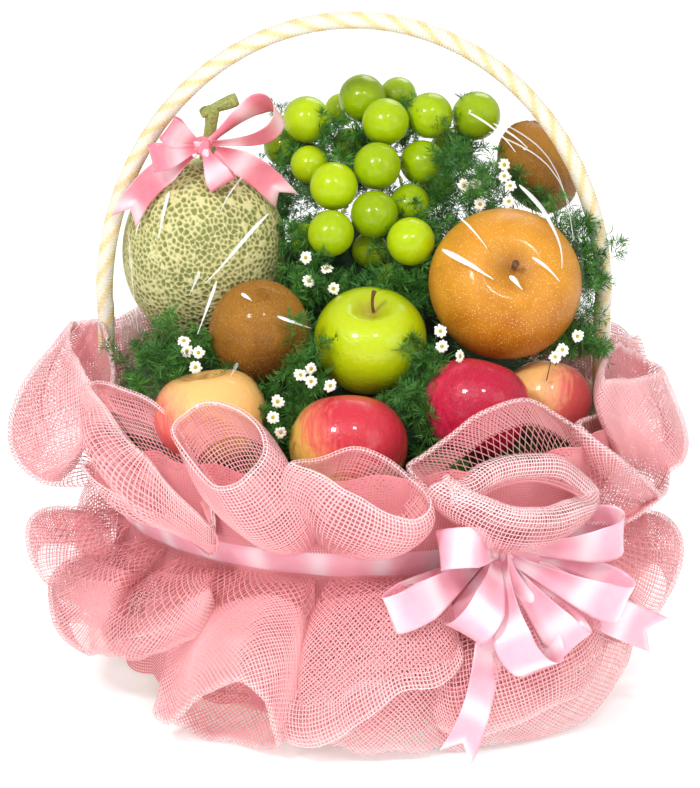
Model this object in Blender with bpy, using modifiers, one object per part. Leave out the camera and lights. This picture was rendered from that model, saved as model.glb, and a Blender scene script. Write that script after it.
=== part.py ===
"""Fruit gift basket: a tall-handled basket of whole fruit under clear film, wrapped in gathered net.

Metres, +Z up, the front faces -Y. The basket's axis is the design axis; at the end everything is
parented to one empty, which moves the middle of the whole outline's base to the world origin.
"""

import math

import bmesh
import bpy
import numpy as np
from mathutils import Vector

NAME = "fruit_gift_basket"
GAP = 0.0004  # clearance between neighbouring solids

# Basket: a tapered round shell with a thick rim.
BASE_RADIUS = 0.118
RIM_RADIUS = 0.184
RIM_HEIGHT = 0.190
RIM_BEAD = 0.003
BEAD_HEIGHT = 0.010
WALL = 0.004
FLOOR = 0.005
TAPER = (RIM_RADIUS - BASE_RADIUS) / RIM_HEIGHT

# Handle: a wrapped tube, an upright half ellipse on two legs that run down inside the wall.
HANDLE_TUBE = 0.0061
HANDLE_HALF_SPAN = 0.1735
HANDLE_SPRING_HEIGHT = 0.270
HANDLE_RISE = 0.1966
HANDLE_FOOT = 0.060

# Waist ribbon and its bow.
WAIST_HEIGHT = 0.1345
RIBBON_WIDTH = 0.024
RIBBON_THICKNESS = 0.0008
RIBBON_STANDOFF = 0.0035
BOW_AZIMUTH = math.radians(-58.0)
KNOT_HALF = (0.0065, 0.0060, 0.0095)
KNOT_RADIUS = 0.1770

# Smaller ribbon on the melon.
MELON_RIBBON_WIDTH = 0.016
MELON_KNOT = Vector((-0.1040, -0.0060, 0.3800))
MELON_KNOT_HALF = (0.0060, 0.0055, 0.0065)

# Film.
FILM_STANDOFF = 0.0020
FILM_THICKNESS = 0.0008
FILM_HOOP = 0.160
FILM_HEM = 0.192
HULL_TURNS = 10
HULL_RISES = 9
FILM_OPENING = ((-0.115, -0.005, 0.380), (0.070, 0.060, 0.080), (0.0, 0.0, 1.0))

# Greenery bed.
BED_RINGS = 12
BED_HUB = 0.05  # radius of the innermost ring, as a share of the edge's
BED_FLOOR = 0.010
BED_EDGE_HEIGHT = 0.176
BED_CROWN = 0.170
BED_CROWN_Y = 0.045
BED_CROWN_HALF = (0.146, 0.118)
BED_FRUIT_MARGIN = 0.0095

# Whole fruit: centre, half sizes (the third along its stem axis) and stem axis.
STEM_GAP = 0.0012  # between a stem's foot and the flesh under it
MELON = ((-0.1045, 0.0200, 0.2990), (0.0575, 0.0575, 0.0665), (0.03, -0.05, 1.0))
RUSSET_PEAR = ((0.1035, -0.0380, 0.2905), (0.0525, 0.0525, 0.0470), (0.10, -0.835, 0.54))
GREEN_APPLE = ((0.0110, -0.0580, 0.2555), (0.0385, 0.0385, 0.0365), (0.02, -0.36, 0.93))
KIWIS = {
    "kiwi_front": ((-0.0650, -0.0600, 0.2630), (0.0338, 0.0338, 0.0375), (0.1, -0.55, 0.83)),
    "kiwi_back": ((0.1290, 0.0550, 0.3500), (0.0262, 0.0262, 0.0345), (-0.50, 0.0, 0.86)),
}
RED_APPLES = {
    "apple_front": ((-0.0040, -0.1180, 0.1975), (0.0402, 0.0402, 0.0375), (0.0, 0.55, 0.83)),
    "apple_crimson": ((0.0825, -0.0975, 0.2195), (0.0362, 0.0362, 0.0350), (0.25, 0.5, 0.83)),
    "apple_right": ((0.1335, -0.0450, 0.2080), (0.0303, 0.0303, 0.0290), (0.1, 0.6, 0.80)),
    "apple_left": ((-0.0975, -0.1060, 0.2160), (0.0380, 0.0380, 0.0350), (-0.15, 0.12, 0.97)),
}
# Grapes of one bunch, from its shoulders down to its tip: centre and radius.
GRAPES = (
    ((0.006, 0.073, 0.395), 0.0170),
    ((-0.033, 0.055, 0.384), 0.0170),
    ((0.031, 0.091, 0.393), 0.0135),
    ((0.022, 0.044, 0.385), 0.0170),
    ((0.053, 0.059, 0.386), 0.0165),
    ((0.086, 0.071, 0.383), 0.0175),
    ((0.016, 0.021, 0.359), 0.0170),
    ((0.048, 0.042, 0.356), 0.0165),
    ((0.069, 0.082, 0.356), 0.0155),
    ((-0.014, 0.008, 0.348), 0.0170),
    ((-0.031, 0.037, 0.356), 0.0140),
    ((0.014, -0.001, 0.330), 0.0170),
    ((0.039, 0.021, 0.331), 0.0150),
    ((-0.016, -0.018, 0.321), 0.0165),
    ((0.039, -0.021, 0.316), 0.0170),
    ((-0.050, 0.075, 0.360), 0.0140),
    ((-0.034, 0.004, 0.312), 0.0105),
    ((0.011, 0.011, 0.301), 0.0130),
    ((0.059, 0.067, 0.333), 0.0120),
    ((0.026, 0.001, 0.284), 0.0105),
    ((-0.009, 0.098, 0.381), 0.0120),
    ((-0.003, 0.062, 0.364), 0.0120),
)

# Ruffle lobes: azimuth in degrees, half width in degrees, reach from the axis, height of the crest.
COLLAR_LOBES = (
    (178, 22, 0.233, 0.246),
    (219, 17, 0.222, 0.250),
    (247, 15, 0.219, 0.250),
    (273, 14, 0.218, 0.226),
    (302, 17, 0.222, 0.249),
    (334, 13, 0.229, 0.240),
    (358, 15, 0.233, 0.240),
    (30, 17, 0.224, 0.246),
    (62, 16, 0.219, 0.238),
    (92, 16, 0.222, 0.246),
    (122, 16, 0.219, 0.238),
    (150, 15, 0.224, 0.244),
)
SKIRT_LOBES = (
    (183, 17, 0.222, 0.070),
    (213, 16, 0.222, 0.050),
    (245, 18, 0.208, 0.002),
    (275, 15, 0.200, 0.006),
    (309, 18, 0.208, 0.002),
    (345, 17, 0.221, 0.055),
    (18, 17, 0.216, 0.020),
    (52, 17, 0.214, 0.004),
    (88, 18, 0.216, 0.020),
    (122, 17, 0.214, 0.004),
    (152, 16, 0.216, 0.030),
)
VALLEY_REACH = 0.198
COLLAR_VALLEY_CREST = 0.216
SKIRT_VALLEY_HEM = 0.040
LOFT_STEPS = 48
NET_SKIN = 0.0022  # how thick the gathered net lies on the wall at the waist

# Bow loops on the waist ribbon: turn in the tangent plane, lean outwards, length, opening, roll
# (all angles in degrees), and how far forward the loop starts.
BOW_LOOPS = {
    "bow_loop_upper_left": (170, 26, 0.062, 0.022, 10, 0.004),
    "bow_loop_far_left": (194, 9, 0.088, 0.018, 0, -0.001),
    "bow_loop_left": (221, 36, 0.060, 0.020, 0, 0.004),
    "bow_loop_centre": (273, 46, 0.080, 0.032, 66, 0.003),
    "bow_loop_lower_right": (311, 33, 0.084, 0.018, 14, -0.001),
    "bow_loop_right": (338, 22, 0.096, 0.024, 0, 0.003),
    "bow_loop_upper_right": (5, 8, 0.092, 0.022, 0, -0.001),
}
# Ribbon tails: four points from the knot outwards, each as turn (degrees), lean (degrees) and distance.
BOW_TAILS = {
    "bow_tail_right": ((322, 6, 0.011), (324, 20, 0.040), (330, 13, 0.085), (334, 9, 0.142)),
    "bow_tail_front": ((250, 12, 0.011), (250, 34, 0.050), (246, 31, 0.092), (243, 19, 0.142)),
}
MELON_LOOPS = {
    "melon_bow_loop_left": (187, 28, 0.040, 0.016, 10, 0.002),
    "melon_bow_loop_upper": (144, 30, 0.034, 0.010, 0, 0.002),
    "melon_bow_loop_right": (25, 4, 0.058, 0.034, 60, 0.000),
    "melon_bow_fold": (302, 30, 0.033, 0.010, 0, 0.002),
}
MELON_TAILS = {
    "melon_bow_tail_left": ((214, 10, 0.009), (206, 16, 0.035), (216, 16, 0.062), (228, 9, 0.085)),
    "melon_bow_tail_right": ((338, 4, 0.009), (340, 8, 0.035), (330, -2, 0.060), (322, -10, 0.083)),
}
SWALLOWTAIL = 0.013
TAIL_SETBACK = 0.0035  # tails start behind the knot's middle

COLOURS = {
    "basket": ((0.72, 0.58, 0.38), 0.7),
    "handle": ((0.93, 0.88, 0.74), 0.6),
    "fern": ((0.05, 0.22, 0.08), 0.8),
    "melon": ((0.62, 0.60, 0.30), 0.7),
    "melon_stem": ((0.40, 0.46, 0.16), 0.7),
    "kiwi": ((0.42, 0.25, 0.08), 0.9),
    "russet_pear": ((0.78, 0.45, 0.13), 0.4),
    "stem": ((0.22, 0.12, 0.05), 0.8),
    "green_apple": ((0.62, 0.78, 0.06), 0.25),
    "red_apple": ((0.72, 0.10, 0.08), 0.25),
    "grape": ((0.55, 0.74, 0.05), 0.15),
    "film": ((0.95, 0.97, 0.98), 0.05),
    "net": ((0.93, 0.60, 0.62), 0.7),
    "pink_satin": ((0.96, 0.66, 0.80), 0.35),
    "coral_satin": ((0.93, 0.55, 0.50), 0.35),
}


def material(slot):
    """The Principled material of one finish, made once."""
    found = bpy.data.materials.get(slot)
    if found:
        return found
    colour, roughness = COLOURS[slot]
    made = bpy.data.materials.new(slot)
    made.use_nodes = True
    shader = made.node_tree.nodes["Principled BSDF"]
    shader.inputs["Base Color"].default_value = (*colour, 1.0)
    shader.inputs["Roughness"].default_value = roughness
    return made


def add(name, data, slot, smooth=True):
    """A new object of the part, with its material."""
    data.materials.append(material(slot))
    if smooth and isinstance(data, bpy.types.Mesh):
        data.shade_smooth()
    obj = bpy.data.objects.new(name, data)
    bpy.data.collections[NAME].objects.link(obj)
    return obj


def grid_mesh(name, points, closed_u=False, closed_v=False):
    """A mesh of quads over points[i, j]; i and j may close on themselves."""
    rows, columns = points.shape[:2]
    index = np.arange(rows * columns).reshape(rows, columns)
    if closed_u:
        index = np.vstack((index, index[:1]))
    if closed_v:
        index = np.hstack((index, index[:, :1]))
    quads = np.stack((index[:-1, :-1], index[1:, :-1], index[1:, 1:], index[:-1, 1:]), axis=-1)
    mesh = bpy.data.meshes.new(name)
    mesh.from_pydata(points.reshape(-1, 3).tolist(), [], quads.reshape(-1, 4).tolist())
    return mesh


def turned(name, profile, slot, steps):
    """A profile of (radius, height) points turned about Z; the outer side runs downwards."""
    mesh = bpy.data.meshes.new(name)
    edges = [(i, i + 1) for i in range(len(profile) - 1)]
    mesh.from_pydata([(r, 0.0, z) for r, z in profile], edges, [])
    obj = add(name, mesh, slot, smooth=False)
    screw = obj.modifiers.new("turn", "SCREW")
    screw.steps = steps
    screw.render_steps = steps
    screw.use_merge_vertices = True
    screw.merge_threshold = 0.00005
    return obj


def solidify(obj, thickness):
    """A wall about an open surface, half to each side."""
    shell = obj.modifiers.new("wall", "SOLIDIFY")
    shell.thickness = thickness
    shell.offset = 0.0


def stand(obj, centre, axis):
    """Places an object with its own +Z along the axis."""
    obj.location = centre
    obj.rotation_mode = "QUATERNION"
    obj.rotation_quaternion = Vector((0.0, 0.0, 1.0)).rotation_difference(Vector(axis))


def tube(name, points, radii, slot, roundness=2):
    """A tube through the points, with a radius at each and filled caps; 4 + 2 * roundness sides."""
    curve = bpy.data.curves.new(name, "CURVE")
    curve.dimensions = "3D"
    curve.bevel_depth = 1.0
    curve.bevel_resolution = roundness
    curve.use_fill_caps = True
    spline = curve.splines.new("POLY")
    spline.points.add(len(points) - 1)
    for knot, place, radius in zip(spline.points, points, radii):
        knot.co = (*place, 1.0)
        knot.radius = radius
    return add(name, curve, slot)


def as_mesh(obj):
    """The object's evaluated shape as a mesh object with its caps welded."""
    bpy.context.view_layer.update()
    graph = bpy.context.evaluated_depsgraph_get()
    mesh = bpy.data.meshes.new_from_object(obj.evaluated_get(graph))
    bm = bmesh.new()
    bm.from_mesh(mesh)
    bmesh.ops.remove_doubles(bm, verts=bm.verts, dist=0.00001)
    bm.to_mesh(mesh)
    bm.free()
    name = obj.name
    made = bpy.data.objects.new(name + "_mesh", mesh)
    made.matrix_world = obj.matrix_world
    bpy.data.collections[NAME].objects.link(made)
    bpy.data.objects.remove(obj)
    made.name = name
    return made


def as_cutter(obj):
    """Moves a helper out of the part, so that it only cuts or joins."""
    bpy.data.collections[NAME].objects.unlink(obj)
    bpy.data.collections["cutters"].objects.link(obj)
    obj.hide_render = True
    obj.display_type = "WIRE"


def boolean(obj, cutter, operation):
    """A live Boolean on the object, with its cutter put away."""
    step = obj.modifiers.new(operation.lower(), "BOOLEAN")
    step.operation = operation
    step.object = cutter
    as_cutter(cutter)


# Basket and handle


def wall_radius(height):
    """Outer radius of the basket's wall at a height."""
    return BASE_RADIUS + TAPER * height


def make_basket():
    """The shell: inside from the middle up to the rim, over the bead, and down the outside."""
    bead_foot = RIM_HEIGHT - BEAD_HEIGHT
    profile = (
        (0.0, FLOOR),
        (wall_radius(FLOOR) - WALL, FLOOR),
        (RIM_RADIUS - WALL, RIM_HEIGHT - 0.001),
        (RIM_RADIUS - WALL / 2, RIM_HEIGHT),
        (RIM_RADIUS + RIM_BEAD / 2, RIM_HEIGHT),
        (RIM_RADIUS + RIM_BEAD, RIM_HEIGHT - 0.003),
        (RIM_RADIUS + RIM_BEAD, bead_foot + 0.003),
        (wall_radius(bead_foot), bead_foot),
        (BASE_RADIUS, 0.0),
        (0.0, 0.0),
    )
    return turned("basket", profile, "basket", 32)


def leg_x(height):
    """Distance of a leg's middle line from the axis, below where the arch springs."""
    inside = wall_radius(min(height, RIM_HEIGHT)) - WALL - HANDLE_TUBE - GAP * 3
    return min(HANDLE_HALF_SPAN, inside)


def make_handle():
    """Up one leg, round the half ellipse and down the other leg."""
    legs = np.linspace(HANDLE_FOOT, HANDLE_SPRING_HEIGHT, 7)[:-1]
    turn = np.linspace(math.pi, 0.0, 25)
    left = [(-leg_x(z), 0.0, z) for z in legs]
    right = [(leg_x(z), 0.0, z) for z in legs[::-1]]
    arch_x = HANDLE_HALF_SPAN * np.cos(turn)
    arch_z = HANDLE_SPRING_HEIGHT + HANDLE_RISE * np.sin(turn)
    arch = [(x, 0.0, z) for x, z in zip(arch_x, arch_z)]
    points = left + arch + right
    return tube("handle", points, [HANDLE_TUBE] * len(points), "handle")


# Fruit


def apple_profile(half_width, half_height, cavity=0.34, basin=0.16, waist=0.10, count=9):
    """An apple's outline: a circle, fuller near the top, dented at the stem and at the base."""
    turn = np.linspace(0.0, math.pi, count)
    radius = half_width * np.sin(turn) * (1.0 + waist * np.cos(turn))
    top_dent = cavity * np.exp(-((radius / (0.36 * half_width)) ** 2)) * (turn < 1.5)
    base_dent = basin * np.exp(-((radius / (0.30 * half_width)) ** 2)) * (turn > 1.6)
    height = half_height * (np.cos(turn) - top_dent + base_dent)
    radius[0] = radius[-1] = 0.0
    return list(zip(radius.tolist(), height.tolist()))


def make_turned_fruit(name, place, slot, cavity, basin, waist):
    """A fruit turned about its stem axis and leaned over where it lies."""
    centre, half, axis = place
    profile = apple_profile(half[0], half[2], cavity, basin, waist)
    fruit = turned(name, profile, slot, 16)
    stand(fruit, centre, axis)
    return fruit


def make_stem(name, place, cavity, length, radius, slot):
    """A short stem that starts just above the bottom of the stem cavity."""
    centre, half, axis = place
    root = half[2] * (1.0 - cavity) + STEM_GAP
    rises = np.linspace(0.0, length, 4)
    bend = 0.12 * length * (rises / length) ** 2
    points = [(b, 0.0, root + rise) for b, rise in zip(bend, rises)]
    stem = tube(name, points, [radius, radius * 0.8, radius * 0.8, radius * 1.25], slot, 0)
    stand(stem, centre, axis)
    return stem


def ball(name, place, slot, segments, rings):
    """An ellipsoid with its own third axis along the given direction."""
    centre, half, axis = place
    mesh = bpy.data.meshes.new(name)
    bm = bmesh.new()
    bmesh.ops.create_uvsphere(bm, u_segments=segments, v_segments=rings, radius=1.0)
    bmesh.ops.scale(bm, vec=half, verts=bm.verts)
    bm.to_mesh(mesh)
    bm.free()
    obj = add(name, mesh, slot)
    stand(obj, centre, axis)
    return obj


def make_melon_stem():
    """A thick stalk that spreads into a cross-piece of vine."""
    centre, half, _ = MELON
    foot = Vector(centre) + Vector((0.002, -0.003, half[2] + STEM_GAP))
    head = foot + Vector((0.003, -0.002, 0.036))
    reach = Vector((0.015, 0.0, 0.004))
    rise = (foot, foot.lerp(head, 0.5), head)
    vine = (head - reach, head, head + reach * 1.2)
    stalk = as_mesh(tube("melon_stem", rise, (0.0052, 0.0036, 0.0052), "melon_stem", 1))
    bar = tube("vine_bar", vine, (0.0034, 0.0040, 0.0042), "melon_stem", 1)
    boolean(stalk, as_mesh(bar), "UNION")
    return stalk


def make_fruit():
    """Every whole fruit, each with its stem where one shows."""
    ball("melon", MELON, "melon", 16, 11)
    make_melon_stem()
    make_turned_fruit("russet_pear", RUSSET_PEAR, "russet_pear", 0.24, 0.10, 0.02)
    make_stem("russet_pear_stem", RUSSET_PEAR, 0.24, 0.009, 0.0022, "stem")
    make_turned_fruit("green_apple", GREEN_APPLE, "green_apple", 0.34, 0.16, 0.08)
    make_stem("green_apple_stem", GREEN_APPLE, 0.34, 0.017, 0.0014, "stem")
    for name, place in KIWIS.items():
        ball(name, place, "kiwi", 14, 9)
    for name, place in RED_APPLES.items():
        make_turned_fruit(name, place, "red_apple", 0.34, 0.16, 0.10)
    for number, (centre, radius) in enumerate(GRAPES, start=1):
        lean = (math.sin(number), -0.3, 1.0 + math.cos(number))
        ball(f"grape_{number:02d}", (centre, (radius, radius, radius), lean), "grape", 8, 6)


def all_fruit():
    """Centres, radii across, radii along and axes of every spheroid that lies in the basket."""
    whole = [MELON, RUSSET_PEAR, GREEN_APPLE, *KIWIS.values(), *RED_APPLES.values()]
    whole += [(centre, (radius,) * 3, (0.0, 0.0, 1.0)) for centre, radius in GRAPES]
    centres = np.array([place[0] for place in whole])
    across = np.array([place[1][0] for place in whole])
    along = np.array([place[1][2] for place in whole])
    axes = np.array([Vector(place[2]).normalized() for place in whole])
    return centres, across, along, axes


# Greenery and film


def bed_height(x, y):
    """Top of the bed: a crown that leans to the back, dished under each fruit."""
    half_x, half_y = BED_CROWN_HALF
    spread = np.clip(1.0 - (x / half_x) ** 2 - ((y - BED_CROWN_Y) / half_y) ** 2, 0.0, 1.0)
    height = BED_EDGE_HEIGHT + BED_CROWN * spread
    centres, radii, lengths, _ = all_fruit()
    for centre, radius in zip(centres, np.maximum(radii, lengths)):
        reach = radius + BED_FRUIT_MARGIN
        across = np.clip(1.0 - ((x - centre[0]) ** 2 + (y - centre[1]) ** 2) / reach**2, 0.0, None)
        under = centre[2] - reach * np.sqrt(across)
        height = np.where(across > 0.0, np.minimum(height, under), height)
    return np.maximum(height, BED_FLOOR + 0.03)


def make_bed():
    """Rings from the middle of the top, out over the edge, down the side and under to the middle."""
    turn = np.linspace(0.0, 2.0 * math.pi, 32, endpoint=False)
    leg_room = 2.0 * HANDLE_TUBE * 1.35 * np.exp(-((np.sin(turn) / 0.26) ** 2))
    edge = wall_radius(BED_EDGE_HEIGHT) - WALL - GAP * 4 - leg_room
    foot = wall_radius(BED_FLOOR) - WALL - GAP * 4 - leg_room
    rings = []
    for share in np.linspace(BED_HUB, 1.0, BED_RINGS):
        x = share * edge * np.cos(turn)
        y = share * edge * np.sin(turn)
        top = bed_height(x, y)
        if share == 1.0:
            top = np.minimum(top, BED_EDGE_HEIGHT)
        rings.append(np.stack((x, y, top), axis=-1))
    for radius in (foot, foot * BED_HUB):
        flat = np.full_like(turn, BED_FLOOR)
        rings.append(np.stack((radius * np.cos(turn), radius * np.sin(turn), flat), axis=-1))
    mesh = grid_mesh("fern_bed", np.array(rings), closed_v=True)
    bm = bmesh.new()
    bm.from_mesh(mesh)
    bmesh.ops.holes_fill(bm, edges=bm.edges)
    bmesh.ops.recalc_face_normals(bm, faces=bm.faces)
    bm.to_mesh(mesh)
    bm.free()
    return add("fern_bed", mesh, "fern")


def spheroid_points(centre, across, along, axis):
    """Points on a spheroid, swelled so that flats between them stay clear of its surface."""
    turn = np.linspace(0.0, 2.0 * math.pi, HULL_TURNS, endpoint=False)
    rise = np.linspace(-0.5 * math.pi, 0.5 * math.pi, HULL_RISES)
    turn, rise = (angle.ravel() for angle in np.meshgrid(turn, rise))
    swell = 1.0 / (math.cos(math.pi / HULL_TURNS) * math.cos(0.5 * math.pi / (HULL_RISES - 1)))
    wide = across * swell + FILM_STANDOFF
    tall = along * swell + FILM_STANDOFF
    ball_points = np.stack(
        (wide * np.cos(rise) * np.cos(turn), wide * np.cos(rise) * np.sin(turn), tall * np.sin(rise)), -1
    )
    lean = Vector((0.0, 0.0, 1.0)).rotation_difference(Vector(axis)).to_matrix()
    return centre + ball_points @ np.array(lean).T


def make_film():
    """The taut hull of the fruit and of a hoop at the rim, as a thin wall open below.

    It opens round the melon's stem and bow.
    """
    points = [spheroid_points(*fruit) for fruit in zip(*all_fruit())]
    turn = np.linspace(0.0, 2.0 * math.pi, 24, endpoint=False)
    hoop = np.stack((FILM_HOOP * np.cos(turn), FILM_HOOP * np.sin(turn), np.zeros_like(turn)), -1)
    points = np.vstack((*points, hoop))
    points[:, 2] = np.maximum(points[:, 2], FILM_HEM)
    mesh = bpy.data.meshes.new("film")
    bm = bmesh.new()
    for point in points:
        bm.verts.new(point)
    bmesh.ops.convex_hull(bm, input=bm.verts)
    bmesh.ops.delete(bm, geom=[vert for vert in bm.verts if not vert.link_faces], context="VERTS")
    under = [face for face in bm.faces if face.normal.z < -0.9]
    bmesh.ops.delete(bm, geom=under, context="FACES")
    bmesh.ops.remove_doubles(bm, verts=bm.verts, dist=0.0045)
    bm.to_mesh(mesh)
    bm.free()
    film = add("film", mesh, "film")
    solidify(film, FILM_THICKNESS)
    boolean(film, ball("film_opening", FILM_OPENING, "film", 16, 10), "DIFFERENCE")
    return film


# Net


def lobed(turn, lobes, valley_reach, valley_height):
    """Reach and crest height round the wrap: each lobe is a raised cosine about its azimuth."""
    reach = np.full_like(turn, valley_reach)
    height = np.full_like(turn, valley_height)
    for azimuth, half_width, lobe_reach, lobe_height in lobes:
        away = (np.degrees(turn) - azimuth + 180.0) % 360.0 - 180.0
        share = np.where(np.abs(away) < half_width, 0.5 + 0.5 * np.cos(math.pi * away / half_width), 0.0)
        reach = reach + (lobe_reach - valley_reach) * share
        height = height + (lobe_height - valley_height) * share
    return reach, height


def ring_loft(name, sections, turn):
    """A closed ring through one cross-section of (radius, height) points for each azimuth."""
    radius, height = np.moveaxis(np.array(sections), 1, 0)
    points = np.stack((radius * np.cos(turn), radius * np.sin(turn), height), axis=-1)
    mesh = grid_mesh(name, points, closed_u=True, closed_v=True)
    bm = bmesh.new()
    bm.from_mesh(mesh)
    bmesh.ops.recalc_face_normals(bm, faces=bm.faces)
    bm.to_mesh(mesh)
    bm.free()
    return add(name, mesh, "net")


def section(points, turn):
    """One corner of a loft's cross-section for all azimuths."""
    radius, height = points
    return np.broadcast_to(radius, turn.shape), np.broadcast_to(height, turn.shape)


def make_collar():
    """The upper ruffle: up the wall from the waist, over the lobes and back under to the waist."""
    turn = np.linspace(0.0, 2.0 * math.pi, LOFT_STEPS, endpoint=False)
    reach, crest = lobed(turn, COLLAR_LOBES, VALLEY_REACH, COLLAR_VALLEY_CREST)
    low = WAIST_HEIGHT + GAP
    ribbon_top = WAIST_HEIGHT + RIBBON_WIDTH / 2
    inside = RIM_RADIUS + RIM_BEAD + GAP * 4
    corners = (
        (wall_radius(low) + GAP * 2, low),
        (wall_radius(RIM_HEIGHT - 0.014) + GAP * 2, RIM_HEIGHT - 0.014),
        (inside, RIM_HEIGHT - BEAD_HEIGHT),
        (inside, crest - 0.014),
        (0.45 * inside + 0.55 * reach - 0.004, crest),
        (reach - 0.003, crest - 0.016),
        (reach, 0.5 * crest + 0.082),
        (reach - 0.012, ribbon_top + 0.030),
        (wall_radius(ribbon_top) + NET_SKIN, ribbon_top + 0.001),
        (wall_radius(low) + NET_SKIN, low),
    )
    return ring_loft("net_collar", [section(corner, turn) for corner in corners], turn)


def make_skirt():
    """The lower ruffle: down the wall from the waist, out along the hem and up over the lobes."""
    turn = np.linspace(0.0, 2.0 * math.pi, LOFT_STEPS, endpoint=False)
    reach, hem = lobed(turn, SKIRT_LOBES, VALLEY_REACH - 0.010, SKIRT_VALLEY_HEM)
    high = WAIST_HEIGHT - GAP
    ribbon_foot = WAIST_HEIGHT - RIBBON_WIDTH / 2
    corners = (
        (wall_radius(high) + NET_SKIN, high),
        (wall_radius(ribbon_foot) + NET_SKIN, ribbon_foot - 0.001),
        (0.5 * reach + 0.081, ribbon_foot - 0.016),
        (reach - 0.005, 0.5 * hem + 0.062),
        (reach, 0.65 * hem + 0.036),
        (reach - 0.010, hem + 0.010),
        (reach - 0.026, hem),
        (wall_radius(0.5 * hem + 0.006) + 0.018, 0.5 * hem + 0.006),
        (wall_radius(0.5 * hem + 0.034) + GAP * 4, 0.5 * hem + 0.034),
        (wall_radius(high) + GAP * 2, high),
    )
    return ring_loft("net_skirt", [section(corner, turn) for corner in corners], turn)


# Ribbons


def make_waist_ribbon():
    """A band round the waist that follows the wall's taper."""
    top = WAIST_HEIGHT + RIBBON_WIDTH / 2
    foot = WAIST_HEIGHT - RIBBON_WIDTH / 2
    profile = ((wall_radius(top) + RIBBON_STANDOFF, top), (wall_radius(foot) + RIBBON_STANDOFF, foot))
    ribbon = turned("waist_ribbon", profile, "pink_satin", 40)
    solidify(ribbon, RIBBON_THICKNESS)
    return ribbon


def axes_at(azimuth):
    """Right, up and outwards for something that faces out at an azimuth."""
    out = np.array((math.cos(azimuth), math.sin(azimuth), 0.0))
    right = np.array((-math.sin(azimuth), math.cos(azimuth), 0.0))
    return right, np.array((0.0, 0.0, 1.0)), out


def band(name, middle, across, widths, slot, notch=0.0):
    """A ribbon: a strip about a middle line, with a wall. A notched end has a column to notch."""
    half = 0.5 * widths[:, None] * across
    columns = [middle - half, middle + half]
    if notch:
        back = middle[-2] - middle[-1]
        spine = middle.copy()
        spine[-1] += back * notch / np.linalg.norm(back)
        columns.insert(1, spine)
    obj = add(name, grid_mesh(name, np.stack(columns, axis=1)), slot)
    solidify(obj, RIBBON_THICKNESS)
    return obj


def make_loop(name, knot, axes, width, slot, loop, start):
    """A bow loop. Along its length it runs out as sin(pi s) and opens as sin(2 pi s)."""
    turn, lean, length, opening, roll, forward = loop
    right, up, out = axes
    turn, lean, roll = (math.radians(value) for value in (turn, lean, roll))
    flat = math.cos(turn) * right + math.sin(turn) * up
    side = math.cos(turn) * up - math.sin(turn) * right
    along = math.cos(lean) * flat + math.sin(lean) * out
    face = math.cos(lean) * out - math.sin(lean) * flat
    across = math.cos(roll) * side + math.sin(roll) * face
    apart = math.cos(roll) * face - math.sin(roll) * side
    s = np.linspace(0.055, 0.945, 13)
    run = start + (length - start) * np.sin(math.pi * s) ** 0.9
    spread = 0.5 * opening * np.sin(2.0 * math.pi * s)
    middle = np.array(knot) + forward * face + run[:, None] * along + spread[:, None] * apart
    widths = width * (0.30 + 0.70 * np.clip(1.7 * np.sin(math.pi * s) - 0.25, 0.0, 1.0))
    return band(name, middle, np.broadcast_to(across, middle.shape), widths, slot)


def make_tail(name, knot, axes, width, slot, route):
    """A loose end: a smooth route from the knot, lying across the view from outside."""
    right, up, out = axes
    places = []
    for turn, lean, distance in route:
        turn, lean = math.radians(turn), math.radians(lean)
        flat = math.cos(turn) * right + math.sin(turn) * up
        places.append(np.array(knot) + distance * (math.cos(lean) * flat + math.sin(lean) * out))
    places = np.array(places)
    share = np.linspace(0.0, 1.0, 10)[:, None]
    rest = 1.0 - share
    middle = rest**3 * places[0] + share**3 * places[3]
    middle = middle + 3.0 * rest * share * (rest * places[1] + share * places[2])
    along = np.gradient(middle, axis=0)
    across = np.cross(out, along)
    across = across / np.linalg.norm(across, axis=1, keepdims=True)
    widths = width * (0.35 + 0.65 * np.clip(3.5 * share[:, 0], 0.0, 1.0))
    return band(name, middle, across, widths, slot, notch=SWALLOWTAIL)


def make_bow(prefix, knot, half, azimuth, width, slot, loops, tails):
    """A knot with its loops and tails fanned round it, all in one satin."""
    axes = axes_at(azimuth)
    _, _, out = axes
    pinch = ball(prefix + "_knot", (knot, half, (0, 0, 1)), slot, 10, 7)
    pinch.rotation_mode = "XYZ"
    pinch.rotation_euler = (0.0, 0.0, azimuth + math.pi / 2)
    start = max(half) * 0.95
    for name, loop in loops.items():
        make_loop(name, knot, axes, width, slot, loop, start)
    for name, route in tails.items():
        make_tail(name, np.array(knot) - TAIL_SETBACK * out, axes, width, slot, route)


def make_bows():
    """The large bow on the waist ribbon and the small one at the melon's stem."""
    _, _, out = axes_at(BOW_AZIMUTH)
    knot = KNOT_RADIUS * out + np.array((0.0, 0.0, WAIST_HEIGHT + 0.001))
    waist = (KNOT_HALF, BOW_AZIMUTH, RIBBON_WIDTH, "pink_satin", BOW_LOOPS, BOW_TAILS)
    make_bow("bow", tuple(knot), *waist)
    front = -0.5 * math.pi
    melon = (MELON_KNOT_HALF, front, MELON_RIBBON_WIDTH, "coral_satin", MELON_LOOPS, MELON_TAILS)
    make_bow("melon_bow", MELON_KNOT, *melon)


# Assembly


def clear_scene():
    """An empty scene with the two collections."""
    for obj in list(bpy.data.objects):
        bpy.data.objects.remove(obj)
    for name in (NAME, "cutters"):
        made = bpy.data.collections.new(name)
        bpy.context.scene.collection.children.link(made)


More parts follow.
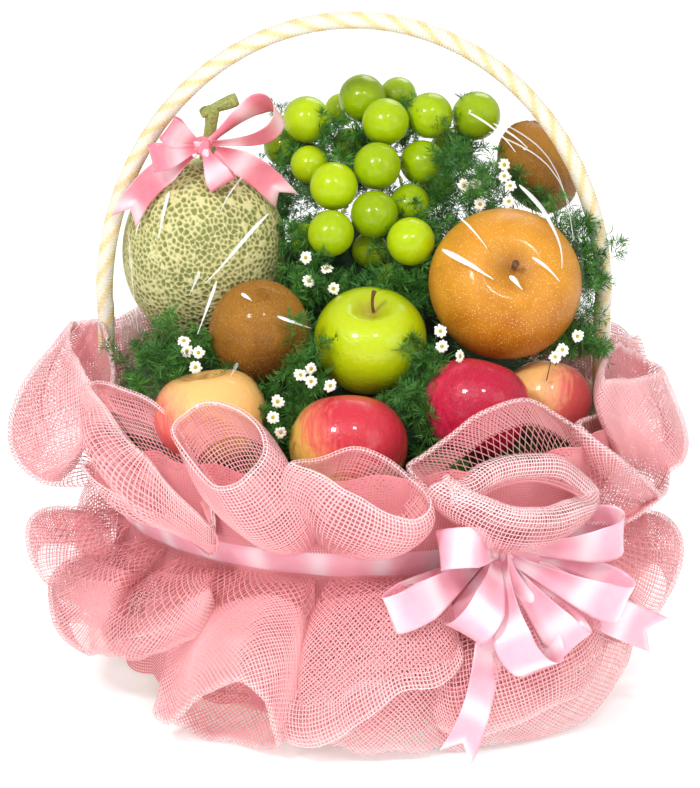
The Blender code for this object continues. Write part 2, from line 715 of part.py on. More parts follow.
def centre_on_base():
    """Parents every object to one empty and moves it so that the outline's base is centred."""
    bpy.context.view_layer.update()
    graph = bpy.context.evaluated_depsgraph_get()
    corners = []
    for obj in bpy.data.collections[NAME].objects:
        seen = obj.evaluated_get(graph)
        mesh = seen.to_mesh()
        corners += [seen.matrix_world @ vert.co for vert in mesh.vertices]
        seen.to_mesh_clear()
    corners = np.array(corners)
    middle = 0.5 * (corners.min(axis=0) + corners.max(axis=0))
    root = bpy.data.objects.new(NAME + "_root", None)
    bpy.context.scene.collection.objects.link(root)
    for name in (NAME, "cutters"):
        for obj in bpy.data.collections[name].objects:
            obj.parent = root
    root.location = (-middle[0], -middle[1], -corners[:, 2].min())
    bpy.context.view_layer.update()


def main():
    """Builds the whole part."""
    clear_scene()
    make_basket()
    make_handle()
    make_fruit()
    make_bed()
    make_film()
    make_collar()
    make_skirt()
    make_waist_ribbon()
    make_bows()
    centre_on_base()


main()
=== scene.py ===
"""Fruit gift basket: whole fruit on fern under clear film, wrapped in gathered net and satin.

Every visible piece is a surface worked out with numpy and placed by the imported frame. Lengths are
metres, +Z is up and the front faces -Y.
"""

import logging
import math
from collections.abc import Callable, Sequence
from dataclasses import dataclass, field
from enum import Enum

import bpy
import numpy as np
from mathutils import Matrix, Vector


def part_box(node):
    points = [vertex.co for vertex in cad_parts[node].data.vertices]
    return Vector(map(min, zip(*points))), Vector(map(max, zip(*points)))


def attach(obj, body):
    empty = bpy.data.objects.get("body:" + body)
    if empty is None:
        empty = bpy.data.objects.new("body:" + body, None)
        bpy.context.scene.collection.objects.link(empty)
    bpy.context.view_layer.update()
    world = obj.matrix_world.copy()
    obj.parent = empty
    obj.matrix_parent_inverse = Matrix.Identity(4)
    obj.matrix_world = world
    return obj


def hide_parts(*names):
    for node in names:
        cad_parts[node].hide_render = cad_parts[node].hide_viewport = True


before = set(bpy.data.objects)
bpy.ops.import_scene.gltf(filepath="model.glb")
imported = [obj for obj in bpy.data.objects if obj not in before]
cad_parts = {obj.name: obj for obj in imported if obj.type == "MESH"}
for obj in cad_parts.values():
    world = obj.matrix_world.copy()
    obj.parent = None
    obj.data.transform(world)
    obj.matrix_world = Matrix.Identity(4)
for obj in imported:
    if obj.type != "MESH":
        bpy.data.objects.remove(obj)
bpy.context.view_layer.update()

Array = np.ndarray
Node = bpy.types.Node
Socket = bpy.types.NodeSocket
Triple = tuple[float, float, float]

LOG = logging.getLogger("fruit_gift_basket")
TAU = 2.0 * math.pi
MM = 0.001
UP = np.array((0.0, 0.0, 1.0))


# ---- Numbers -----------------------------------------------------


def unit(vectors: Array) -> Array:
    """Vectors scaled to length one along the last axis."""
    return vectors / np.maximum(np.linalg.norm(vectors, axis=-1, keepdims=True), 1e-12)


def smooth_step(low: float, high: float, value: Array) -> Array:
    """An S-curve from 0 at low to 1 at high: 3x^2 - 2x^3 of the clipped share x."""
    share = np.clip((value - low) / (high - low), 0.0, 1.0)
    return share * share * (3.0 - 2.0 * share)


def lumps(points: Array, waves_per_unit: float, seed: int) -> Array:
    """Smooth unevenness in -1..1: the mean of fourteen sine waves in random directions.

    Args:
        points: Places, the last axis being x, y, z.
        waves_per_unit: Angular wave number of the lumps.
        seed: Seed of the directions and phases.

    Returns:
        One value per place.
    """
    random = np.random.default_rng(seed)
    directions = random.normal(size=(14, 3)) * waves_per_unit
    phases = random.uniform(0.0, TAU, 14)
    return np.clip(np.sin(points @ directions.T + phases).mean(axis=-1) * 2.2, -1.0, 1.0)


def basis(axis: Sequence[float]) -> Array:
    """A right-handed frame as rows: side, front and the given axis."""
    along = unit(np.array(axis, float))
    side = unit(np.cross(np.array((0.0, 1.0, 0.0)), along))
    return np.stack((side, np.cross(along, side), along))


def seat(node: str) -> tuple[Array, Array, Array]:
    """The low corner, the high corner and the middle of a CAD node's box."""
    low, high = (np.array(corner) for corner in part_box(node))
    return low, high, 0.5 * (low + high)


def circle(count: int) -> Array:
    """Turns in radians, evenly spaced all the way round."""
    return np.linspace(0.0, TAU, count, endpoint=False)


def turned(radius: Array | float, turn: Array, height: Array | float) -> Array:
    """Points at radii, turns in radians and heights, each spread over the others."""
    parts = (radius * np.cos(turn), radius * np.sin(turn), height)
    return np.stack(np.broadcast_arrays(*parts), axis=-1)


def rays_at(azimuth: Array, elevation: Array) -> Array:
    """Unit directions at azimuths and elevations in degrees."""
    rise = np.radians(elevation)
    return turned(np.cos(rise), np.radians(azimuth), np.sin(rise))


def spiral(count: int, drop: float) -> Array:
    """Even directions on a golden-angle spiral, from straight up down to a height of 1 - drop."""
    order = np.arange(count) + 0.5
    height = 1.0 - drop * order / count
    return turned(np.sqrt(1.0 - height**2), order * math.pi * (3.0 - math.sqrt(5.0)), height)


def way_along(route: Array) -> Array:
    """How far each point of a route is from its first, measured along it."""
    return np.concatenate(([0.0], np.cumsum(np.linalg.norm(np.diff(route, axis=0), axis=-1))))


def wheel(azimuth: float) -> tuple[Array, Array]:
    """Outward and tangent unit vectors at an azimuth in degrees, seen from the basket's axis."""
    angle = math.radians(azimuth)
    out = np.array((math.cos(angle), math.sin(angle), 0.0))
    return out, np.array((-out[1], out[0], 0.0))


def bezier(corners: Sequence[Array], share: Array) -> Array:
    """A cubic Bezier curve through four corner points at the given shares of its length."""
    share = np.asarray(share)[..., None]
    rest = 1.0 - share
    first, second, third, last = corners
    ends = rest**3 * first + share**3 * last
    return ends + 3.0 * rest * share * (rest * second + share * third)


def through(points: Sequence[Sequence[float]], count: int) -> Array:
    """A smooth route through points: a Catmull-Rom curve sampled evenly in its parameter.

    Args:
        points: The points that the route passes.
        count: How many samples to return.

    Returns:
        The samples, as (count, 3).
    """
    knots = np.array(points, float)
    padded = np.vstack((2 * knots[0] - knots[1], knots, 2 * knots[-1] - knots[-2]))
    place = np.linspace(0.0, len(knots) - 1.0, count)
    start = np.minimum(place.astype(int), len(knots) - 2)
    t = (place - start)[:, None]
    a, b, c, d = (padded[start + shift] for shift in range(4))
    bend = (2 * a - 5 * b + 4 * c - d) * t**2 + (3 * b - a - 3 * c + d) * t**3
    return 0.5 * (2 * b + (c - a) * t + bend)


def linear(code: str, alpha: float = 1.0) -> tuple[float, float, float, float]:
    """A display colour such as "f3a9ac" as linear light."""
    parts = (int(code[i : i + 2], 16) / 255.0 for i in (0, 2, 4))
    red, green, blue = (p / 12.92 if p <= 0.04045 else ((p + 0.055) / 1.055) ** 2.4 for p in parts)
    return red, green, blue, alpha


# ---- Shapes ------------------------------------------------------


@dataclass
class Shape:
    """Points with faces of four and three corners, and named values at the points."""

    points: Array
    quads: Array
    triangles: Array = field(default_factory=lambda: np.empty((0, 3), int))
    values: dict[str, Array] = field(default_factory=dict)

    @staticmethod
    def grid(points: Array, ring_rows: bool = False, ring_columns: bool = False) -> "Shape":
        """Quads over points[i, j].

        Args:
            points: The surface, as (rows, columns, 3).
            ring_rows: Whether the last row joins the first.
            ring_columns: Whether the last column joins the first.

        Returns:
            The open, tubular or ring-shaped surface.
        """
        rows, columns = points.shape[:2]
        index = np.arange(rows * columns).reshape(rows, columns)
        if ring_rows:
            index = np.vstack((index, index[:1]))
        if ring_columns:
            index = np.hstack((index, index[:, :1]))
        corners = (index[:-1, :-1], index[1:, :-1], index[1:, 1:], index[:-1, 1:])
        return Shape(points.reshape(-1, 3), np.stack(corners, axis=-1).reshape(-1, 4))

    @staticmethod
    def closed(points: Array, first: Array, last: Array) -> "Shape":
        """A closed body: rings of points[i, j] with a pole before the first and after the last.

        Args:
            points: The rings, as (rows, columns, 3).
            first: The pole next to the first ring.
            last: The pole next to the last ring.

        Returns:
            The body, facing outwards.
        """
        rows, columns = points.shape[:2]
        body = Shape.grid(points, ring_columns=True)
        here = np.arange(columns)
        ahead = np.roll(here, -1)
        pole = rows * columns
        foot = (rows - 1) * columns
        top = np.stack((np.full(columns, pole), here, ahead), axis=-1)
        bottom = np.stack((np.full(columns, pole + 1), foot + ahead, foot + here), axis=-1)
        body.points = np.vstack((body.points, first, last))
        body.triangles = np.vstack((top, bottom))
        return body.outwards()

    def outwards(self) -> "Shape":
        """Turns every face round if the enclosed volume comes out negative."""
        middle = self.points.mean(axis=0)
        a, b, c, d = (self.points[self.quads[:, i]] - middle for i in range(4))
        volume = np.einsum("ij,ij->i", a, np.cross(b, c) + np.cross(c, d)).sum()
        if volume < 0.0:
            self.quads = self.quads[:, ::-1]
            self.triangles = self.triangles[:, ::-1]
        return self

    def with_value(self, name: str, value: Array | float) -> "Shape":
        """Adds a named number or vector at every point."""
        value = np.asarray(value, float)
        if value.ndim == 0:
            value = np.full(len(self.points), float(value))
        self.values[name] = value
        return self

    @staticmethod
    def joined(shapes: Sequence["Shape"]) -> "Shape":
        """One shape from many that carry the same named values."""
        starts = np.cumsum([0] + [len(shape.points) for shape in shapes[:-1]])
        return Shape(
            np.vstack([shape.points for shape in shapes]),
            np.vstack([shape.quads + start for shape, start in zip(shapes, starts)]),
            np.vstack([shape.triangles + start for shape, start in zip(shapes, starts)]),
            {name: np.concatenate([s.values[name] for s in shapes]) for name in shapes[0].values},
        )

    def piece(self, name: str, finish: "Finish", replaces: Sequence[str] = ()) -> bpy.types.Object:
        """Makes the object, dresses it and lets it ride on the root body.

        Args:
            name: The piece's name.
            finish: What it is dressed in.
            replaces: The CAD nodes that it stands for.

        Returns:
            The finished object.
        """
        mesh = bpy.data.meshes.new(name)
        corners = np.concatenate((self.quads.ravel(), self.triangles.ravel()))
        sizes = np.concatenate((np.full(len(self.quads), 4), np.full(len(self.triangles), 3)))
        mesh.vertices.add(len(self.points))
        mesh.vertices.foreach_set("co", self.points.astype(np.float32).ravel())
        mesh.loops.add(len(corners))
        mesh.loops.foreach_set("vertex_index", corners.astype(np.int32))
        mesh.polygons.add(len(sizes))
        starts = np.concatenate(([0], np.cumsum(sizes)[:-1]))
        mesh.polygons.foreach_set("loop_start", starts.astype(np.int32))
        mesh.update(calc_edges=True)
        mesh.validate()
        for key, value in self.values.items():
            kind, member = ("FLOAT_VECTOR", "vector") if value.ndim == 2 else ("FLOAT", "value")
            layer = mesh.attributes.new(key, kind, "POINT")
            layer.data.foreach_set(member, value.astype(np.float32).ravel())
        mesh.shade_smooth()
        mesh.materials.append(finish.material())
        obj = bpy.data.objects.new(name, mesh)
        bpy.context.scene.collection.objects.link(obj)
        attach(obj, "root")
        if replaces:
            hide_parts(*replaces)
        LOG.info("%s: %d points, %d faces", name, len(self.points), len(sizes))
        return obj


def rings_about(path: Array, radii: Array, sides: int, side: Array) -> Array:
    """Circles carried along a path, each square to it.

    Args:
        path: The middle line, as (n, 3).
        radii: The radius at each of its points, or (n, sides) for an uneven outline.
        sides: Points in each circle.
        side: A direction that is never parallel to the path.

    Returns:
        The circles' points, as (n, sides, 3).
    """
    along = unit(np.gradient(path, axis=0))
    first = unit(np.cross(along, side))
    second = np.cross(along, first)
    turn = circle(sides)
    radii = np.asarray(radii, float)
    radii = radii[:, None] if radii.ndim == 1 else radii
    spokes = np.cos(turn)[:, None] * first[:, None] + np.sin(turn)[:, None] * second[:, None]
    return path[:, None] + radii[..., None] * spokes


def rod(path: Array, radii: Array, sides: int = 8, side: Sequence[float] = (0, 1, 0)) -> Shape:
    """A round rod along a path with closed ends."""
    rings = rings_about(path, radii, sides, np.array(side, float))
    return Shape.closed(rings, path[0], path[-1])


# ---- Finishes ----------------------------------------------------


class Effect(Enum):
    """Shader node groups that several finishes share."""

    MOTTLE = "mottle"
    SPECKS = "specks"
    STREAKS = "streaks"


def effect_tree(effect: Effect) -> bpy.types.NodeTree:
    """The node group of an effect, built once.

    Every group takes Vector, Scale and Amount and puts out one Value in 0..1. Mottle is soft noise
    about 0.5 times Amount, Specks are round dots whose radius is Amount of a cell, and Streaks is
    noise drawn out along the vector's third axis.

    Args:
        effect: Which group.

    Returns:
        Its node tree.
    """
    found = bpy.data.node_groups.get(effect.value)
    if found:
        return found
    tree = bpy.data.node_groups.new(effect.value, "ShaderNodeTree")
    for name, kind in (("Vector", "Vector"), ("Scale", "Float"), ("Amount", "Float")):
        tree.interface.new_socket(name, in_out="INPUT", socket_type=f"NodeSocket{kind}")
    tree.interface.new_socket("Value", in_out="OUTPUT", socket_type="NodeSocketFloat")
    recipe = Recipe(tree)
    inside = recipe.add("NodeGroupInput")
    outside = recipe.add("NodeGroupOutput")
    vector, scale, amount = (inside.outputs[name] for name in ("Vector", "Scale", "Amount"))
    if effect is Effect.SPECKS:
        cells = recipe.add("ShaderNodeTexVoronoi", Vector=vector, Scale=scale, Randomness=0.9)
        size = recipe.add("ShaderNodeTexNoise", Vector=vector, Scale=scale, Detail=0.0)
        limit = recipe.math("MULTIPLY", amount, recipe.math("ADD", size.outputs[0], 0.5))
        inner = recipe.math("SUBTRACT", 1.0, recipe.math("DIVIDE", cells.outputs["Distance"], limit))
        value = recipe.math("MULTIPLY", inner, 3.0, clamp=True)
    else:
        if effect is Effect.STREAKS:
            stretch = recipe.add("ShaderNodeVectorMath", operation="MULTIPLY")
            recipe.link(vector, stretch.inputs[0])
            stretch.inputs[1].default_value = (1.0, 1.0, 0.07)
            vector = stretch.outputs[0]
        noise = recipe.add("ShaderNodeTexNoise", Vector=vector, Scale=scale, Detail=5.0, Roughness=0.6)
        away = recipe.math("SUBTRACT", noise.outputs[0], 0.5)
        spread = recipe.math("MULTIPLY", away, amount)
        value = recipe.math("ADD", recipe.math("MULTIPLY", spread, 2.0), 0.5, clamp=True)
    recipe.link(value, outside.inputs[0])
    return tree


class Recipe:
    """Short calls that place shader nodes in a tree and join their sockets."""

    def __init__(self, tree: bpy.types.NodeTree) -> None:
        """Works on the given tree."""
        self.tree = tree

    def link(self, source: Socket, target: Socket) -> None:
        """Joins two sockets."""
        self.tree.links.new(source, target)

    def feed(self, socket: Socket, value: object) -> None:
        """Links a socket or sets a plain value on an input."""
        if isinstance(value, Socket):
            self.link(value, socket)
        else:
            socket.default_value = value

    def add(self, kind: str, **settings: object) -> Node:
        """Places a node; capitalised settings are its inputs, the others its properties.

        Args:
            kind: Blender's name of the node type.
            **settings: Inputs (spaces as underscores) and properties.

        Returns:
            The node.
        """
        node = self.tree.nodes.new(kind)
        for name, value in settings.items():
            if name[0].isupper():
                self.feed(node.inputs[name.replace("_", " ")], value)
            else:
                setattr(node, name, value)
        return node

    def wear(self, shader: Node, **inputs: object) -> None:
        """Feeds the shader's inputs, named with underscores for spaces."""
        for name, value in inputs.items():
            self.feed(shader.inputs[name.replace("_", " ")], value)

    def math(self, operation: str, first: object, second: object, clamp: bool = False) -> Socket:
        """One Math node's result."""
        node = self.add("ShaderNodeMath", operation=operation, use_clamp=clamp)
        self.feed(node.inputs[0], first)
        self.feed(node.inputs[1], second)
        return node.outputs[0]

    def swayed(self, value: Socket, noise: Socket, share: float = 1.0) -> Socket:
        """A value in 0..1, moved by a share of how far a noise is from its middle."""
        away = self.math("SUBTRACT", noise, 0.5)
        if share != 1.0:
            away = self.math("MULTIPLY", away, share)
        return self.math("ADD", value, away, clamp=True)

    def blotted(self, colour: object, mask: Socket, share: float, blot: str) -> Socket:
        """A colour with another laid over it by a share of a mask."""
        return self.mix(self.math("MULTIPLY", mask, share), colour, blot)

    def value(self, name: str) -> Socket:
        """A number stored at the mesh's points."""
        return self.add("ShaderNodeAttribute", attribute_name=name).outputs["Fac"]

    def vector(self, name: str) -> Socket:
        """A vector stored at the mesh's points."""
        return self.add("ShaderNodeAttribute", attribute_name=name).outputs["Vector"]

    def place(self) -> Socket:
        """The place on the object, in metres."""
        return self.add("ShaderNodeTexCoord").outputs["Object"]

    def effect(self, effect: Effect, vector: Socket, scale: float, amount: float) -> Socket:
        """One of the shared groups with its own values."""
        node = self.add("ShaderNodeGroup", node_tree=effect_tree(effect))
        self.feed(node.inputs["Vector"], vector)
        self.feed(node.inputs["Scale"], scale)
        self.feed(node.inputs["Amount"], amount)
        return node.outputs[0]

    def ramp(self, value: object, stops: Sequence[tuple[float, str]]) -> Socket:
        """Colours at stops along a value."""
        node = self.add("ShaderNodeValToRGB")
        self.feed(node.inputs[0], value)
        elements = node.color_ramp.elements
        while len(elements) < len(stops):
            elements.new(1.0)
        for element, (position, colour) in zip(elements, stops):
            element.position = position
            element.color = linear(colour)
        return node.outputs[0]

    def mix(self, share: object, first: object, second: object) -> Socket:
        """A colour between two, by a share in 0..1."""
        node = self.add("ShaderNodeMix", data_type="RGBA")
        self.feed(node.inputs[0], share)
        for socket, colour in ((node.inputs[6], first), (node.inputs[7], second)):
            self.feed(socket, linear(colour) if isinstance(colour, str) else colour)
        return node.outputs[2]

    def bump(self, height: Socket, distance: float, strength: float = 1.0) -> Socket:
        """A normal raised by a height times a distance in metres."""
        node = self.add("ShaderNodeBump", Height=height, Distance=distance, Strength=strength)
        return node.outputs[0]


@dataclass(frozen=True)
class Finish:
    """A named finish; its slot name is carried but not used."""

    name: str
    slot: str
    roughness: float = 0.5

    def material(self) -> bpy.types.Material:
        """The material, built the first time that it is asked for."""
        found = bpy.data.materials.get(self.name)
        if found:
            return found
        made = bpy.data.materials.new(self.name)
        made.use_nodes = True
        shader = made.node_tree.nodes["Principled BSDF"]
        shader.inputs["Roughness"].default_value = self.roughness
        self.dress(Recipe(made.node_tree), shader)
        return made

    def dress(self, recipe: Recipe, shader: Node) -> None:
        """Joins the finish's own nodes to the shader."""
        raise NotImplementedError


@dataclass(frozen=True)
class AppleSkin(Finish):
    """Waxy skin: colours along the stored colour field, broken by streaks, with pale dots."""

    pale: str = "f2c35a"
    middle: str = "e0563c"
    deep: str = "b0142a"
    streak: float = 0.5
    dots: float = 0.12
    dot_colour: str = "f6c9a0"
    dot_scale: float = 34.0

    def dress(self, recipe: Recipe, shader: Node) -> None:
        """The colour field plus streaks drives a three-stop colour; dots and a soft mottle lie on top."""
        skin = recipe.vector("local")
        streaks = recipe.effect(Effect.STREAKS, skin, 11.0, self.streak)
        stops = ((0.12, self.pale), (0.52, self.middle), (0.90, self.deep))
        colour = recipe.ramp(recipe.swayed(recipe.value("blush_and_shade"), streaks), stops)
        dots = recipe.effect(Effect.SPECKS, skin, self.dot_scale, self.dots)
        colour = recipe.blotted(colour, dots, 0.55, self.dot_colour)
        colour = recipe.blotted(colour, recipe.value("hollow"), 0.75, "a8892f")
        recipe.wear(shader, Base_Color=colour)
        mottle = recipe.effect(Effect.MOTTLE, skin, 9.0, 1.0)
        recipe.wear(
            shader, Normal=recipe.bump(mottle, 0.0004), Specular_IOR_Level=0.25, Coat_Weight=0.45,
            Coat_Roughness=0.05,
        )


@dataclass(frozen=True)
class GrapeSkin(Finish):
    """Clear green skin under a thin clear coat, with a darker scar at each tip."""

    def dress(self, recipe: Recipe, shader: Node) -> None:
        """Colour follows each grape's own tone and a soft mottle; flesh lets light through."""
        skin = recipe.vector("local")
        mottle = recipe.effect(Effect.MOTTLE, skin, 3.0, 0.8)
        tone = recipe.math("ADD", recipe.value("tone"), recipe.math("MULTIPLY", mottle, 0.4))
        colour = recipe.ramp(tone, ((0.10, "7e9a00"), (0.55, "9fbc02"), (1.0, "b9d208")))
        colour = recipe.mix(recipe.value("scar"), colour, "6a5a20")
        recipe.wear(
            shader, Base_Color=colour, Subsurface_Weight=0.25, Subsurface_Radius=(0.8, 0.9, 0.10),
            Subsurface_Scale=0.006, Specular_IOR_Level=0.2, Coat_Weight=0.3, Coat_Roughness=0.05,
            Normal=recipe.bump(mottle, 0.0003),
        )


@dataclass(frozen=True)
class MelonRind(Finish):
    """Corky cream net over a dull olive-green ground."""

    def dress(self, recipe: Recipe, shader: Node) -> None:
        """The stored net mask mixes ground and cork, each broken by mottle."""
        skin = recipe.vector("local")
        fine = recipe.effect(Effect.MOTTLE, skin, 38.0, 1.0)
        broad = recipe.effect(Effect.MOTTLE, skin, 2.2, 1.0)
        ground = recipe.mix(broad, "667030", "8a9048")
        cork = recipe.mix(fine, "ccc580", "e6dfa8")
        mask = recipe.swayed(recipe.value("net"), fine, 0.25)
        recipe.wear(
            shader, Base_Color=recipe.mix(mask, ground, cork),
            Normal=recipe.bump(fine, 0.0006, 0.6),
        )


@dataclass(frozen=True)
class RussetSkin(Finish):
    """Golden-brown dull skin with fine pale dots."""

    light: str = "dc982a"
    dark: str = "b2690a"
    dots: float = 0.24
    dot_scale: float = 30.0
    dot_colour: str = "f4cf8a"
    dot_share: float = 0.7

    def dress(self, recipe: Recipe, shader: Node) -> None:
        """Mottle and the stored field mix the two browns, the darker one towards the underside as painted
        shade; dots lie on top and roughen the skin.
        """
        skin = recipe.vector("local")
        mottle = recipe.effect(Effect.MOTTLE, skin, 2.4, 0.9)
        fine = recipe.effect(Effect.MOTTLE, skin, 40.0, 1.0)
        colour = recipe.mix(recipe.swayed(recipe.value("blush_and_shade"), mottle), self.light, self.dark)
        colour = recipe.blotted(colour, fine, 0.22, self.dark)
        dots = recipe.effect(Effect.SPECKS, skin, self.dot_scale, self.dots)
        colour = recipe.blotted(colour, dots, self.dot_share, self.dot_colour)
        colour = recipe.blotted(colour, recipe.value("hollow"), 0.7, "7a4316")
        recipe.wear(
            shader, Base_Color=colour, Normal=recipe.bump(fine, 0.0004, 0.5),
            Specular_IOR_Level=0.25, Coat_Weight=0.2, Coat_Roughness=0.10,
        )


@dataclass(frozen=True)
class Plain(Finish):
    """Two close tones broken by mottle, with a little relief: stems, leaves, straw and petals."""

    light: str = "808080"
    dark: str = "606060"
    scale: float = 400.0
    relief: float = 0.0002
    tint: str = ""

    def dress(self, recipe: Recipe, shader: Node) -> None:
        """Mottle in metres mixes the tones; a stored tint mixes in the third one."""
        mottle = recipe.effect(Effect.MOTTLE, recipe.place(), self.scale, 1.0)
        colour = recipe.mix(mottle, self.dark, self.light)
        if self.tint:
            colour = recipe.mix(recipe.value("tint"), colour, self.tint)
        recipe.wear(shader, Base_Color=colour, Normal=recipe.bump(mottle, self.relief))


@dataclass(frozen=True)
class Satin(Finish):
    """Woven satin: a soft sheen that is stretched along the ribbon, painted highlight bands, and fine
    cross threads.
    """

    light: str = "fbbfce"
    dark: str = "f3a3b6"
    painted_highlight: str = "fff0f4"

    def dress(self, recipe: Recipe, shader: Node) -> None:
        """Fine threads across the ribbon ride on its own two-part coordinate; so do the painted highlight
        bands, which mix the colour towards near white.
        """
        lie = recipe.vector("lie")
        wave = "ShaderNodeTexWave"
        threads = recipe.add(wave, Vector=lie, Scale=900.0, bands_direction="Y")
        mottle = recipe.effect(Effect.MOTTLE, lie, 60.0, 0.8)
        colour = recipe.mix(mottle, self.dark, self.light)
        # Painted highlight: wave bands along the ribbon lighten the colour towards the highlight colour.
        bands = recipe.add(
            wave, Vector=lie, Scale=8.0, Distortion=1.6, Detail=0.0, bands_direction="X"
        )
        peaks = recipe.math("POWER", bands.outputs["Fac"], 2.5)
        highlight_share = recipe.math("MULTIPLY", peaks, 0.75)
        recipe.wear(
            shader, Base_Color=recipe.mix(highlight_share, colour, self.painted_highlight),
            Normal=recipe.bump(threads.outputs["Fac"], 0.00002, 0.3), Specular_IOR_Level=0.7,
            Anisotropic=0.6,
        )


@dataclass(frozen=True)
class NetThread(Finish):
    """Matt polyester thread, with painted shade towards the bunched root and inside the folds, and a
    painted highlight on the turned lip.
    """

    def dress(self, recipe: Recipe, shader: Node) -> None:
        """The painted light value runs from painted shade at the bunched root and the inner layer to a
        painted highlight on the turned lip, through four pinks.
        """
        mottle = recipe.effect(Effect.MOTTLE, recipe.place(), 60.0, 0.10)
        # Painted light: the stored value darkens the root, the inner layer and the lining as painted
        # shade, and lightens the lip as a painted highlight.
        tone = recipe.swayed(recipe.value("painted_light"), mottle)
        stops = ((0.0, "de8a90"), (0.35, "f0a9ac"), (0.60, "f8c4c6"), (0.90, "ffe2e2"))
        recipe.wear(shader, Base_Color=recipe.ramp(tone, stops), Specular_IOR_Level=0.2)


@dataclass(frozen=True)
class ClearFilm(Finish):
    """Thin clear film: only a plain white share shows, a painted reflection that grows at a slant, and
    painted glints along the creases.
    """

    def dress(self, recipe: Recipe, shader: Node) -> None:
        """Alpha is a Fresnel share plus the stored painted glint; the seen share is plain white, a
        painted reflection.
        """
        facing = recipe.add("ShaderNodeLayerWeight", Blend=0.12).outputs["Fresnel"]
        slant = recipe.math("MULTIPLY", facing, 0.30)
        share = recipe.math("ADD", slant, recipe.value("painted_glint"), clamp=True)
        recipe.wear(shader, Base_Color=linear("ffffff"), Alpha=share)


# ---- Fruit -------------------------------------------------------


@dataclass(frozen=True)
class Body:
    """The outline of a fruit turned about its stem axis, before its unevenness."""

    across: float
    along: float
    axis: Triple
    cavity: float = 0.0
    basin: float = 0.0
    fullness: float = 0.0
    lobes: float = 0.0
    unevenness: float = 0.012
    rings: int = 72
    columns: int = 104

    def local(self, seed: int) -> tuple[Array, Array, Array, Array]:
        """The surface about its own middle and axis.

        A circle of the given half width, fuller near the top by the cosine of the turn, is dented
        at the stem and at the base by a bell curve of the radius; five soft lobes grow to the base.

        Args:
            seed: Seed of the unevenness.

        Returns:
            The rings (rows, columns, 3), both poles, and how far each ring point is down the stem
            cavity, from 0 to 1.
        """
        turn = np.linspace(0.0, math.pi, self.rings + 2)[:, None]
        around = circle(self.columns)[None]
        radius = self.across * np.sin(turn) * (1.0 + self.fullness * np.cos(turn))
        dip = np.exp(-((radius / (0.36 * self.across)) ** 2)) * (turn < 0.5 * math.pi)
        rise = np.exp(-((radius / (0.30 * self.across)) ** 2)) * (turn > 0.5 * math.pi)
        height = self.along * (np.cos(turn) - self.cavity * dip + self.basin * rise)
        ribs = 1.0 + self.lobes * np.cos(5.0 * around + seed) * smooth_step(0.6, 2.8, turn)
        points = turned(radius * ribs, around, height)
        swell = 1.0 + self.unevenness * lumps(points / self.across, 1.6, seed)
        points = points * swell[..., None]
        hollow = np.broadcast_to(dip * (self.cavity > 0.0), points.shape[:2])[1:-1]
        return points[1:-1], points[0, 0], points[-1, 0], hollow


@dataclass(frozen=True)
class Fruit:
    """One fruit in the place of its CAD node."""

    node: str
    body: Body
    finish: Finish
    seed: int
    # Real colour fields on the apples; on the pear and kiwis it is painted shade that darkens the
    # underside.
    blush_and_shade: Callable[[Array], Array] = lambda facing: np.full(facing.shape[:-1], 0.5)

    def shape(self) -> Shape:
        """The fruit's surface in place, with the values that its finish reads."""
        rings, first, last, hollow = self.body.local(self.seed)
        turned = basis(self.body.axis)
        shape = Shape.closed(rings, first, last)
        shape.with_value("local", shape.points / self.body.across)
        shape.with_value("hollow", np.concatenate((hollow.ravel() ** 2, (1.0, 0.0))))
        shape.points = shape.points @ turned
        shape.with_value("blush_and_shade", self.blush_and_shade(unit(shape.points)))
        own_middle = 0.5 * (shape.points.min(axis=0) + shape.points.max(axis=0))
        shape.points = shape.points + seat(self.node)[2] - own_middle
        return shape

    def build(self) -> None:
        """Makes the piece."""
        self.shape().piece(self.node + "_fruit", self.finish, [self.node])


def toward(direction: Sequence[float], low: float, high: float) -> Callable[[Array], Array]:
    """A colour share that grows as the surface faces a direction, from cosine low to cosine high."""
    aim = unit(np.array(direction, float))
    return lambda facing: smooth_step(low, high, facing @ aim)


